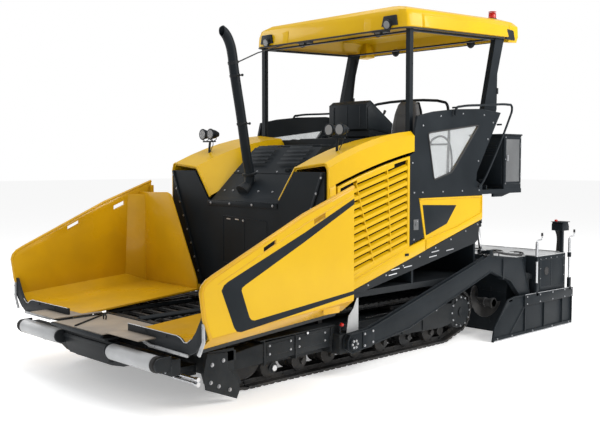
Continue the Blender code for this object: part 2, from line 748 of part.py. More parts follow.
def make_auger_gearbox():
    housing = box("auger_gearbox", (-0.09, 3.48, 0.22), (0.09, 3.82, 0.72), "black")
    arm = box("arm", (-0.10, TRACTOR_REAR + TOUCH, 0.60), (0.10, 3.50, 0.72), "black")
    return joined(housing, arm)


# ---- screed ---------------------------------------------------------------------------------
def make_tow_arm(side, sign):
    outline = [(1.019, 0.41), (0.985, 0.36), (0.985, 0.27), (1.048, 0.23), (1.91, 0.36), (3.378, 0.816),
               (3.772, 0.675), (4.00, 0.46), (4.20, 0.46), (4.023, 0.917), (3.334, 0.999), (1.30, 0.43)]
    outer = ARM_INNER + ARM_THICK
    arm = side_plate(f"tow_arm_{side}", outline, sign * ARM_INNER, sign * outer, "black")
    station, height = LIFT_EYE
    lug = side_plate("lug", [(station - 0.06, 0.90), (station + 0.06, 0.90), (station + 0.03, height + 0.03),
                             (station - 0.03, height + 0.03)],
                     sign * ARM_INNER, sign * (outer - 0.01), "black")
    pin = round_bar("pin", (sign * (LIFT_X + 0.03), station, height),
                    (sign * (outer - 0.02), station, height), 0.022, "black", 12)
    return joined(arm, lug, pin)


def make_screed():
    profile = [(SCREED_FRONT, 0.03), (SCREED_FRONT + 0.03, 0.0), (SCREED_REAR, 0.0),
               (SCREED_REAR, SCREED_TOP), (4.02, SCREED_TOP), (SCREED_FRONT, 0.55)]
    screed = side_plate("screed_body", profile, -SCREED_HALF, SCREED_HALF, "black")
    bridges = []
    for sign in SIDES.values():
        low, high = sorted((sign * (SCREED_HALF - 0.05), sign * (ARM_INNER - TOUCH)))
        bridges.append(box("bridge", (low, 4.02, 0.52), (high, 4.14, 0.80), "black"))
    return joined(screed, *bridges)


def make_extension(side, sign):
    profile = [(SCREED_REAR + 0.02, 0.0), (EXTENSION_REAR - 0.06, 0.0), (EXTENSION_REAR - 0.06, 0.36),
               (EXTENSION_REAR, 0.42), (EXTENSION_REAR, SCREED_TOP), (SCREED_REAR + 0.02, SCREED_TOP)]
    body = side_plate(f"screed_extension_{side}", profile, sign * 0.02, sign * EXTENSION_END, "black")
    end = EXTENSION_END
    post = box("post", (sign * (end - 0.065), 4.97, SCREED_TOP - 0.02), (sign * (end - 0.025), 5.01, 1.20),
               "black")
    console = box("console", (sign * (end - 0.165), 4.94, 1.19), (sign * (end - 0.005), 5.10, 1.31), "black")
    step = box("step", (sign * 0.02, EXTENSION_REAR - 0.08, 0.30), (sign * end, 5.125, 0.33), "black")
    return joined(body, post, console, step)


def make_end_plate(side, sign):
    low = EXTENSION_END + RUNNING
    plate = side_plate(f"end_plate_{side}", [(PLATE_FRONT, 0.0), (PLATE_REAR, 0.0), (PLATE_REAR, 0.47),
                                             (3.80, 0.484), (3.67, 0.46), (3.40, 0.17)],
                       sign * low, sign * (low + END_PLATE), "black")
    posts = []
    for station in (4.285, 5.06):
        posts.append(round_bar("spindle", (sign * (low + 0.02), station, 0.4),
                               (sign * (low + 0.02), station, 1.10), 0.018, "silver", 12))
    return joined(plate, *posts)


def along_lift(distance):
    """A (station, z) point on the lift cylinder's axis, below its upper pin."""
    top = Vector(LIFT_TOP)
    return tuple(top + (Vector(LIFT_EYE) - top).normalized() * distance)


def make_lift(side, sign):
    x = sign * LIFT_X
    barrel = round_bar(f"lift_barrel_{side}", (x, *along_lift(-0.02)), (x, *along_lift(BARREL_LENGTH)), 0.042,
                       "black", 16)
    bore = round_bar("bore", (x, *along_lift(0.02)), (x, *along_lift(BARREL_LENGTH + 0.1)), 0.030,
                     "black", 16)
    length = (Vector(LIFT_EYE) - Vector(LIFT_TOP)).length
    rod = round_bar(f"lift_rod_{side}", (x, *along_lift(BARREL_LENGTH - 0.02)), (x, *along_lift(length)),
                    0.02, "silver", 12)
    eye = round_bar("eye", (sign * (LIFT_X - 0.025), *LIFT_EYE), (sign * (LIFT_X + 0.024), *LIFT_EYE), 0.04,
                    "silver", 12)
    return cut(barrel, bore), joined(rod, eye)


# ---- assembly -------------------------------------------------------------------------------
def build():
    clear_scene()
    make_chassis()
    make_engine()
    make_front_wall()
    hang((0, BULKHEAD - 0.01, HOOD_TOP), make_hood())
    make_platform()
    hang((0.3, 2.2, 2.345), make_console())
    make_canopy_frame()
    make_roof()
    make_exhaust()
    make_beacon()
    hang((0, -0.555, 0.582), make_apron())
    hang((0, SWING_STATION, 0.40), make_push_beam())
    make_auger_gearbox()
    screed = [make_screed()]
    for side, sign in SIDES.items():
        make_track(side, sign)
        make_track_frame(side, sign)
        make_conveyor(side, sign)
        hang((sign * HOPPER_HINGE, 0, floor_at(0)), make_wing(side, sign))
        hang((sign * 0.8, ROLLER_STATION, ROLLER_HEIGHT), make_push_roller(side, sign))
        make_shoulder(side, sign)
        hang((sign * (BODY_HALF + 0.01), DOOR_FRONT - 0.005, 1.5), make_louvre_door(side, sign))
        make_skirt(side, sign)
        make_side_rear(side, sign)
        make_side_panel(side, sign)
        make_side_window(side, sign)
        make_posts(side, sign)
        hang((sign * SEAT_X, SEAT_STATION, SEAT_HEIGHT), *make_seat(side, sign))
        make_lamps(side, sign)
        hang((sign * 0.6, AUGER_STATION, AUGER_HEIGHT), make_auger(side, sign))
        screed.append(make_tow_arm(side, sign))
        hang((sign * 0.6, 4.6, 0.3), make_extension(side, sign))
        hang((sign * EXTENSION_END, 4.6, 0.3), make_end_plate(side, sign))
        barrel, rod = make_lift(side, sign)
        hang((sign * LIFT_X, *LIFT_TOP), barrel)
        hang((sign * LIFT_X, *along_lift(BARREL_LENGTH)), rod)
    hang((0, TOW_STATION, TOW_HEIGHT), *screed)


build()
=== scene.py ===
import json
import math

import bmesh
import bpy
from mathutils import Matrix, Vector


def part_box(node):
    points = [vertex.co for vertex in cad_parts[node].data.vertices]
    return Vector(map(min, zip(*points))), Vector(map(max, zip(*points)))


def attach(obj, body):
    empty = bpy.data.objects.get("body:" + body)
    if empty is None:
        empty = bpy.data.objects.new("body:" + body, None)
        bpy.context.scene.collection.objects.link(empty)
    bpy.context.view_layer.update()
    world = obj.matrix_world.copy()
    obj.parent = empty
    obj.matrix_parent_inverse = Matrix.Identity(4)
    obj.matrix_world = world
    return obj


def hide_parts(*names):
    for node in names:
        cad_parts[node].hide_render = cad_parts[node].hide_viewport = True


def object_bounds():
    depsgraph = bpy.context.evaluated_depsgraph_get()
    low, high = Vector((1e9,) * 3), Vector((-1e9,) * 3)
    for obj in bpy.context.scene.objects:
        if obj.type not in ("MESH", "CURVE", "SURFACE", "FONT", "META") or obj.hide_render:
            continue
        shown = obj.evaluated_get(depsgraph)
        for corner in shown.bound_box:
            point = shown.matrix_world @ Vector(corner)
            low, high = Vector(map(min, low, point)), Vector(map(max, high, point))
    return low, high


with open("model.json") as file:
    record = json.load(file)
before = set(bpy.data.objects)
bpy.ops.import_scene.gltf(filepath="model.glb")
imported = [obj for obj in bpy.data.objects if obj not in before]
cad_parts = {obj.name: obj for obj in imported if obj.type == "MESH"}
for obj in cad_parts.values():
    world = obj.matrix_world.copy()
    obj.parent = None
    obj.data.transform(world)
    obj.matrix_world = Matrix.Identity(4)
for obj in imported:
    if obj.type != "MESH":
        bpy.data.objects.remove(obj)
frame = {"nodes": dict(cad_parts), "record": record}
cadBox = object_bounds()
for node in frame["nodes"].values():
    node.select_set(False)

# Side views are drawn in stations: metres behind the front end of the tracks' ground contact.
# X is the machine's left.
apronFront = -1.18  # the station of the machine's front end
middle = apronFront - cadBox[0].y
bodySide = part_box("skirt_left")[1].x
print("frame loaded")


# small tools
def at(x, station, z):
    return Vector((x, station - middle, z))


def deselect():
    bpy.ops.object.select_all(action='DESELECT')


def only(piece):
    deselect()
    piece.select_set(True)
    bpy.context.view_layer.objects.active = piece


def settle(name):
    piece = bpy.context.object
    bpy.ops.object.transform_apply(location=True, rotation=True, scale=True)
    piece.name = name
    piece.data.name = name
    return piece


def block(name, low, high):
    # low and high are (x, station, z) corners
    a = at(*low)
    b = at(*high)
    deselect()
    bpy.ops.mesh.primitive_cube_add(size=1, location=(a + b) / 2, scale=[abs(v) for v in b - a])
    return settle(name)


def rod(name, start, end, radius, sides=16, endRadius=None):
    a = at(*start)
    b = at(*end)
    deselect()
    bpy.ops.mesh.primitive_cone_add(vertices=sides, radius1=radius, radius2=radius
            if endRadius is None else endRadius,
            depth=(b - a).length, location=(a + b) / 2, rotation=(b - a).to_track_quat('Z', 'Y').to_euler())
    return settle(name)


def plate(name, outline, axis, low, high):
    # an outline cut from sheet, with its corners in order: (station, z) for x, (x, z) for y, (x, station) for z
    deselect()
    bpy.ops.mesh.primitive_circle_add(vertices=len(outline), radius=1, fill_type='NGON')
    piece = bpy.context.object
    for vertex, (a, b) in zip(piece.data.vertices, outline):
        vertex.co = {'x': at(low, a, b), 'y': at(a, low, b), 'z': at(a, b, low)}[axis]
    step = {'x': (high - low, 0, 0), 'y': (0, high - low, 0), 'z': (0, 0, high - low)}[axis]
    bpy.ops.object.mode_set(mode='EDIT')
    bpy.ops.mesh.select_all(action='SELECT')
    bpy.ops.mesh.extrude_region_move(TRANSFORM_OT_translate={"value": step})
    bpy.ops.mesh.select_all(action='SELECT')
    bpy.ops.mesh.normals_make_consistent(inside=False)
    bpy.ops.object.mode_set(mode='OBJECT')
    return settle(name)


def skin(name, rings, closed=True):
    # a form lofted through rings of (x, station, z) points, with its ends filled
    count = len(rings[0])
    deselect()
    bpy.ops.mesh.primitive_circle_add(vertices=count, radius=1, fill_type='NOTHING')
    piece = bpy.context.object
    mesh = bmesh.new()
    rows = [[mesh.verts.new(at(*point)) for point in ring] for ring in rings]
    for near, far in zip(rows, rows[1:]):
        for k in range(count if closed else count - 1):
            n = (k + 1) % count
            mesh.faces.new((near[k], near[n], far[n], far[k]))
    if closed:
        mesh.faces.new(rows[0])
        mesh.faces.new(rows[-1][::-1])
    bmesh.ops.recalc_face_normals(mesh, faces=mesh.faces)
    mesh.to_mesh(piece.data)
    mesh.free()
    return settle(name)


def tube(name, points, radius, sides=8, smooth=True):
    line = bpy.data.curves.new(name, 'CURVE')
    line.dimensions = '3D'
    line.bevel_depth = radius
    line.bevel_resolution = max(0, sides // 4 - 1)
    line.use_fill_caps = True
    line.resolution_u = 6
    spline = line.splines.new('BEZIER' if smooth else 'POLY')
    if smooth:
        spline.bezier_points.add(len(points) - 1)
        for spot, point in zip(spline.bezier_points, points):
            spot.co = at(*point)
            spot.handle_left_type = spot.handle_right_type = 'AUTO'
    else:
        spline.points.add(len(points) - 1)
        for spot, point in zip(spline.points, points):
            spot.co = (*at(*point), 1)
    piece = bpy.data.objects.new(name, line)
    bpy.context.collection.objects.link(piece)
    only(piece)
    bpy.ops.object.convert(target='MESH')
    return settle(name)


def finish(piece, kind, **settings):
    only(piece)
    modifier = piece.modifiers.new(kind.title(), kind)
    for key, value in settings.items():
        setattr(modifier, key, value)
    bpy.ops.object.modifier_apply(modifier=modifier.name)
    return piece


def soften(piece, width=0.004, segments=2):
    finish(piece, 'BEVEL', width=width, segments=segments, limit_method='ANGLE', angle_limit=math.radians(35))
    only(piece)
    bpy.ops.object.shade_smooth_by_angle(angle=math.radians(40))
    return piece


def carve(piece, *cutters):
    for cutter in cutters:
        finish(piece, 'BOOLEAN', object=cutter, operation='DIFFERENCE', solver='EXACT')
        bpy.data.objects.remove(cutter)
    return piece


def join(name, *pieces):
    deselect()
    for piece in pieces:
        piece.select_set(True)
    bpy.context.view_layer.objects.active = pieces[0]
    bpy.ops.object.join()
    pieces[0].name = name
    pieces[0].data.name = name
    return pieces[0]


def copied(piece, matrix):
    twin = piece.copy()
    twin.data = piece.data.copy()
    twin.data.transform(matrix)
    bpy.context.collection.objects.link(twin)
    return twin


def row(name, piece, count, step):
    # the piece and its copies, each one step further on
    return join(name, piece, *[copied(piece, Matrix.Translation(Vector(step) * k)) for k in range(1, count)])


def bolts(name, spots, axis, size=0.014):
    # hexagon heads on washers, standing up along the axis from each (x, station, z) spot
    up = Vector(axis).normalized()
    first = Vector(spots[0])
    washer = rod("washer", first, first + up * size * 0.3, size * 1.35, 14)
    head = rod("head", first + up * size * 0.25, first + up * size * 1.0, size, 6, size * 0.92)
    one = join(name, washer, head)
    rest = [copied(one, Matrix.Translation(Vector(spot) - first)) for spot in spots[1:]]
    return join(name, one, *rest) if rest else one


def along(start, end, count):
    a = Vector(start)
    b = Vector(end)
    return [tuple(a + (b - a) * k / (count - 1)) for k in range(count)]


def angles(count, closed=True):
    # a full turn in equal steps, back to its start when closed
    return [math.tau * k / count for k in range(count + 1 if closed else count)]


def mirrored(piece, name):
    twin = piece.copy()
    twin.data = piece.data.copy()
    bpy.context.collection.objects.link(twin)
    mesh = bmesh.new()
    mesh.from_mesh(twin.data)
    for vertex in mesh.verts:
        vertex.co.x *= -1
    bmesh.ops.reverse_faces(mesh, faces=mesh.faces)
    mesh.to_mesh(twin.data)
    mesh.free()
    twin.name = name
    twin.data.name = name
    return twin


def fit(piece, body, material, replaces=()):
    # material, body and what the piece stands for
    piece.data.materials.clear()
    piece.data.materials.append(material)
    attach(piece, body)
    if replaces:
        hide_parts(*replaces)
    return piece


def fitPair(piece, body, material, replaces=()):
    # the left piece and its mirror image on the right; {} in the names stands for the side
    base = piece.name
    twin = mirrored(piece, base + "_right")
    piece.name = base + "_left"
    piece.data.name = piece.name
    for side, one in (("left", piece), ("right", twin)):
        fit(one, body.format(side), material, [node.format(side) for node in replaces])
    return piece, twin


# shared effects, as node groups
def newGroup(name, inputs, outputs):
    group = bpy.data.node_groups.new(name, 'ShaderNodeTree')
    for label, value in inputs.items():
        kind = 'NodeSocketVector' if label == "Vector" else 'NodeSocketFloat'
        socket = group.interface.new_socket(label, in_out='INPUT', socket_type=kind)
        if label != "Vector":
            socket.default_value = value
    for label in outputs:
        group.interface.new_socket(label, in_out='OUTPUT', socket_type='NodeSocketFloat')
    return group, group.nodes.new('NodeGroupInput'), group.nodes.new('NodeGroupOutput')


def calc(nodes, links, operation, a, b, clamp=False):
    node = nodes.new('ShaderNodeMath')
    node.operation = operation
    node.use_clamp = clamp
    for socket, value in zip(node.inputs, (a, b)):
        if isinstance(value, (int, float)):
            socket.default_value = value
        else:
            links.new(value, socket)
    return node.outputs[0]


def makeEdgeWear():
    # 1 on worn corners, 0 elsewhere: the bent normal of a small bevel against the real one
    group, take, give = newGroup("edge wear", {"Vector": 0, "Width": 0.006, "Amount": 1.0, "Grain": 60.0}, ["Mask"])
    nodes, links = group.nodes, group.links
    bevel = nodes.new('ShaderNodeBevel')
    bevel.samples = 4
    links.new(take.outputs["Width"], bevel.inputs["Radius"])
    real = nodes.new('ShaderNodeNewGeometry')
    dot = nodes.new('ShaderNodeVectorMath')
    dot.operation = 'DOT_PRODUCT'
    links.new(bevel.outputs[0], dot.inputs[0])
    links.new(real.outputs["Normal"], dot.inputs[1])
    turn = calc(nodes, links, 'SUBTRACT', 1.0, dot.outputs["Value"])
    noise = nodes.new('ShaderNodeTexNoise')
    links.new(take.outputs["Vector"], noise.inputs["Vector"])
    links.new(take.outputs["Grain"], noise.inputs["Scale"])
    noise.inputs["Detail"].default_value = 4
    patchy = calc(nodes, links, 'SUBTRACT', noise.outputs[0], 0.42)
    patchy = calc(nodes, links, 'MULTIPLY', patchy, 7.0, True)
    strong = calc(nodes, links, 'MULTIPLY', turn, 5.0, True)
    worn = calc(nodes, links, 'MULTIPLY', strong, patchy)
    links.new(calc(nodes, links, 'MULTIPLY', worn, take.outputs["Amount"], True), give.inputs["Mask"])
    return group


def makeDust():
    # dust that thins out with height, with more of it in patches
    group, take, give = newGroup("road dust", {"Vector": 0, "Top": 0.7, "Amount": 0.5, "Grain": 5.0}, ["Mask"])
    nodes, links = group.nodes, group.links
    split = nodes.new('ShaderNodeSeparateXYZ')
    links.new(take.outputs["Vector"], split.inputs[0])
    low = calc(nodes, links, 'DIVIDE', split.outputs[2], take.outputs["Top"])
    low = calc(nodes, links, 'SUBTRACT', 1.0, low, True)
    noise = nodes.new('ShaderNodeTexNoise')
    links.new(take.outputs["Vector"], noise.inputs["Vector"])
    links.new(take.outputs["Grain"], noise.inputs["Scale"])
    noise.inputs["Detail"].default_value = 7
    noise.inputs["Roughness"].default_value = 0.65
    patch = calc(nodes, links, 'SUBTRACT', noise.outputs[0], 0.35)
    patch = calc(nodes, links, 'MULTIPLY', patch, 3.0, True)
    mask = calc(nodes, links, 'MULTIPLY', low, patch)
    links.new(calc(nodes, links, 'MULTIPLY', mask, take.outputs["Amount"], True), give.inputs["Mask"])
    return group


def makeGrain():
    # fine surface height with a slow swell under it, and a broad cloudiness for colour
    group, take, give = newGroup("surface grain", {"Vector": 0, "Fine": 400.0, "Broad": 3.0, "Swell": 0.3},
            ["Height", "Cloud"])
    nodes, links = group.nodes, group.links
    fine = nodes.new('ShaderNodeTexNoise')
    broad = nodes.new('ShaderNodeTexNoise')
    for node, label, detail in ((fine, "Fine", 3), (broad, "Broad", 5)):
        links.new(take.outputs["Vector"], node.inputs["Vector"])
        links.new(take.outputs[label], node.inputs["Scale"])
        node.inputs["Detail"].default_value = detail
    swell = calc(nodes, links, 'MULTIPLY', broad.outputs[0], take.outputs["Swell"])
    links.new(calc(nodes, links, 'ADD', fine.outputs[0], swell), give.inputs["Height"])
    cloud = calc(nodes, links, 'SUBTRACT', broad.outputs[0], 0.3)
    links.new(calc(nodes, links, 'MULTIPLY', cloud, 2.5, True), give.inputs["Cloud"])
    return group


edgeWear = makeEdgeWear()
roadDust = makeDust()
surfaceGrain = makeGrain()


def blendColour(nodes, links, mask, under, over):
    mix = nodes.new('ShaderNodeMix')
    mix.data_type = 'RGBA'
    links.new(mask, mix.inputs[0])
    for socket, value in ((mix.inputs[6], under), (mix.inputs[7], over)):
        if isinstance(value, tuple):
            socket.default_value = (*value, 1)
        else:
            links.new(value, socket)
    return mix.outputs[2]


def useGroup(nodes, links, group, where, values):
    node = nodes.new('ShaderNodeGroup')
    node.node_tree = group
    links.new(where, node.inputs["Vector"])
    for label, value in values.items():
        node.inputs[label].default_value = value
    return node


def surface(name, look):
    # base and deep colours in clouds, bare worn edges, dust from the road, fine bump
    material = bpy.data.materials.new(name)
    material.use_nodes = True
    nodes, links = material.node_tree.nodes, material.node_tree.links
    shader = nodes["Principled BSDF"]
    where = nodes.new('ShaderNodeTexCoord').outputs["Object"]
    grain = useGroup(nodes, links, surfaceGrain, where,
            {"Fine": look.get("fine", 300), "Broad": look.get("broad", 2.5),
                "Swell": look.get("swell", 0.3)})
    colour = blendColour(nodes, links, grain.outputs["Cloud"], look["colour"], look["deep"])
    wear = useGroup(nodes, links, edgeWear, where, {"Width": look.get("wearWidth", 0.005),
                "Amount": look.get("wear", 0.5), "Grain": 45})
    colour = blendColour(nodes, links, wear.outputs["Mask"], colour, look.get("bare", (0.30, 0.30, 0.31)))
    dust = useGroup(nodes, links, roadDust, where,
            {"Top": look.get("dustTop", 0.7), "Amount": look.get("dust", 0.4)})
    colour = blendColour(nodes, links, dust.outputs["Mask"], colour, look.get("dustColour", (0.30, 0.27, 0.23)))
    links.new(colour, shader.inputs["Base Color"])
    rough = calc(nodes, links, 'MULTIPLY', grain.outputs["Cloud"], look.get("roughSpread", 0.12))
    rough = calc(nodes, links, 'ADD', rough, look["roughness"])
    dusty = calc(nodes, links, 'MULTIPLY', dust.outputs["Mask"], 0.5)
    links.new(calc(nodes, links, 'ADD', rough, dusty, True), shader.inputs["Roughness"])
    bump = nodes.new('ShaderNodeBump')
    bump.inputs["Strength"].default_value = look.get("bump", 0.12)
    bump.inputs["Distance"].default_value = look.get("bumpDepth", 0.002)
    links.new(grain.outputs["Height"], bump.inputs["Height"])
    links.new(bump.outputs[0], shader.inputs["Normal"])
    shader.inputs["Metallic"].default_value = look.get("metal", 0.0)
    shader.inputs["Coat Weight"].default_value = look.get("coat", 0.0)
    shader.inputs["Coat Roughness"].default_value = 0.08
    shader.inputs["Specular IOR Level"].default_value = look.get("specular", 0.5)
    return material


yellowPaint = surface("golden yellow paint", {
    "colour": (0.63, 0.385, 0.002), "deep": (0.57, 0.34, 0.002), "roughness": 0.30, "coat": 0.22, "specular": 0.14,
            "bump": 0.05,
    "fine": 220, "broad": 1.6, "wear": 0.18, "bare": (0.35, 0.25, 0.10), "dustTop": 0.75, "dust": 0.06})
hopperPaint = surface("yellow paint polished by the mix", {
    "colour": (0.62, 0.34, 0.004), "deep": (0.50, 0.27, 0.004), "roughness": 0.24, "coat": 0.15, "specular": 0.22,
            "bump": 0.10,
    "fine": 60, "broad": 2.2, "wear": 0.2, "bare": (0.32, 0.24, 0.12), "dustTop": 0.9, "dust": 0.3,
    "dustColour": (0.20, 0.17, 0.13)})
blackPaint = surface("slate black paint", {
    "colour": (0.008, 0.011, 0.014), "deep": (0.013, 0.017, 0.021), "roughness": 0.36, "specular": 0.10,
            "bump": 0.10,
    "fine": 260, "wear": 0.35, "bare": (0.10, 0.11, 0.12), "dustTop": 1.0, "dust": 0.05,
    "dustColour": (0.13, 0.13, 0.125)})
frameBlack = surface("chassis black", {
    "colour": (0.009, 0.011, 0.013), "deep": (0.015, 0.018, 0.021), "roughness": 0.42, "specular": 0.16,
            "bump": 0.25, "fine": 180,
    "wear": 0.6, "bare": (0.13, 0.14, 0.15), "dustTop": 0.9, "dust": 0.20, "dustColour": (0.09, 0.09, 0.085)})
# near-black painted shade: sheets in this colour stand in for the shade inside the body, behind the louvres, above
# the doors and under the conveyor slats
paintedShadeBlack = surface("painted shade black", {
    "colour": (0.003, 0.0035, 0.004), "deep": (0.005, 0.0055, 0.006), "roughness": 0.7, "specular": 0.05,
            "bump": 0.2, "wear": 0.0,
    "dust": 0.0})
trackSteel = surface("worn track steel", {
    "colour": (0.030, 0.031, 0.033), "deep": (0.018, 0.019, 0.020), "roughness": 0.45, "metal": 0.35,
            "specular": 0.3, "bump": 0.5,
    "fine": 120, "wear": 1.0, "bare": (0.30, 0.30, 0.30), "dustTop": 0.8, "dust": 0.55,
    "dustColour": (0.11, 0.10, 0.09)})
brightSteel = surface("bright steel", {
    "colour": (0.62, 0.63, 0.65), "deep": (0.50, 0.51, 0.53), "roughness": 0.22, "metal": 1.0, "bump": 0.08,
    "fine": 500, "wear": 0.2, "dust": 0.1})
zincBolt = surface("zinc plated bolts", {
    "colour": (0.50, 0.51, 0.53), "deep": (0.36, 0.37, 0.39), "roughness": 0.35, "metal": 0.9, "bump": 0.1,
    "wear": 0.3, "dust": 0.2})
whiteCoat = surface("white enamel", {
    "colour": (0.44, 0.45, 0.46), "deep": (0.36, 0.37, 0.38), "roughness": 0.35, "specular": 0.35, "bump": 0.06,
    "wear": 0.5, "bare": (0.35, 0.35, 0.36), "dustTop": 0.9, "dust": 0.12})
tanRubber = surface("mix stained rubber sheet", {
    "colour": (0.30, 0.25, 0.19), "deep": (0.20, 0.17, 0.14), "roughness": 0.5, "bump": 0.35, "fine": 140,
    "broad": 3.0, "wear": 0.4, "bare": (0.12, 0.11, 0.10), "dustTop": 0.8, "dust": 0.2})
blackRubber = surface("black rubber", {
    "colour": (0.012, 0.012, 0.013), "deep": (0.022, 0.022, 0.023), "roughness": 0.6, "bump": 0.3, "wear": 0.2,
    "bare": (0.07, 0.07, 0.07), "dust": 0.2})
seatCloth = surface("grained seat cover", {
    "colour": (0.070, 0.070, 0.072), "deep": (0.045, 0.045, 0.047), "roughness": 0.55, "bump": 0.6, "fine": 420,
    "bumpDepth": 0.0015, "wear": 0.3, "bare": (0.14, 0.14, 0.14), "dust": 0.0})
mouldedGrey = surface("moulded grey plastic", {
    "colour": (0.10, 0.105, 0.11), "deep": (0.075, 0.078, 0.082), "roughness": 0.45, "bump": 0.35, "fine": 600,
    "wear": 0.2, "dust": 0.0})
walkwaySheet = surface("bare walkway sheet", {
    "colour": (0.66, 0.67, 0.68), "deep": (0.50, 0.51, 0.52), "roughness": 0.3, "metal": 0.55, "bump": 0.2,
    "fine": 200, "wear": 0.3, "dust": 0.1})


def clearSheet(name, tint, roughness, weight):
    material = bpy.data.materials.new(name)
    material.use_nodes = True
    nodes, links = material.node_tree.nodes, material.node_tree.links
    shader = nodes["Principled BSDF"]
    where = nodes.new('ShaderNodeTexCoord').outputs["Object"]
    grain = useGroup(nodes, links, surfaceGrain, where, {"Fine": 90, "Broad": 4, "Swell": 0.5})
    links.new(blendColour(nodes, links, grain.outputs["Cloud"], tint, tuple(v * 0.94 for v in tint)),
            shader.inputs["Base Color"])
    smear = calc(nodes, links, 'MULTIPLY', grain.outputs["Cloud"], 0.05)
    links.new(calc(nodes, links, 'ADD', smear, roughness), shader.inputs["Roughness"])
    shader.inputs["Transmission Weight"].default_value = weight
    shader.inputs["IOR"].default_value = 1.45
    return material


windowGlass = clearSheet("window sheet", (0.93, 0.96, 0.97), 0.02, 0.9)
lampGlass = clearSheet("lamp lens", (0.42, 0.43, 0.44), 0.08, 0.5)
redLens = clearSheet("red lens", (0.70, 0.02, 0.012), 0.12, 0.35)
print("materials made")


# carried-over pieces get their finish here; the rest are replaced further down
for name, node in frame["nodes"].items():
    slot = next(p["material_slot"] for p in frame["record"]["subparts"] if p["node"] == name)
    finishes = {"yellow_panels": yellowPaint, "black_paint": blackPaint, "worn_steel": trackSteel,
            "bright_steel": brightSteel, "white_rollers": whiteCoat, "glass": windowGlass,
            "seat_fabric": seatCloth, "red_lens": redLens, "rubber_sheet": tanRubber}
    chosen = finishes[slot]
    if name in ("main_frame", "push_beam", "auger_gearbox") or name.startswith(("track_frame", "skirt")):
        chosen = frameBlack
    if not node.data.materials:
        node.data.materials.append(chosen)
    for index in range(len(node.material_slots)):
        node.material_slots[index].material = chosen


# hopper wings
wing = {"outside": 1.63, "sheet": 0.024, "hinge": 0.50, "floorFront": 0.60, "floorSlope": 0.075,
        "rear": 0.735, "wallRear": 0.56, "lip": 0.017, "leftDrop": 0.30,
        "slots": ((-0.285, 1.377, 0.45), (0.295, 1.578, 0.40)), "slotHalf": 0.07}


def floorAt(station):
    return wing["floorFront"] + wing["floorSlope"] * (station + 0.95)


def wingSlots():
    # cutters for the two slots in the side, which slope with its top edge
    cutters = []
    half = wing["slotHalf"]
    for station, height, slope in wing["slots"]:
        corners = [(station + way * half, height + way * half * slope + lift)
                for way, lift in ((-1, -0.022), (1, -0.022), (1, 0.024), (-1, 0.024))]
        cutters.append(plate("slot", corners, 'x', wing["outside"] - 0.1, wing["outside"] + 0.1))
    return cutters


def arcPoints(centre, radius, start, end, count):
    return [(centre[0] + radius * math.cos(math.radians(start + (end - start) * k / (count - 1))),
             centre[1] + radius * math.sin(math.radians(start + (end - start) * k / (count - 1))))
            for k in range(count)]


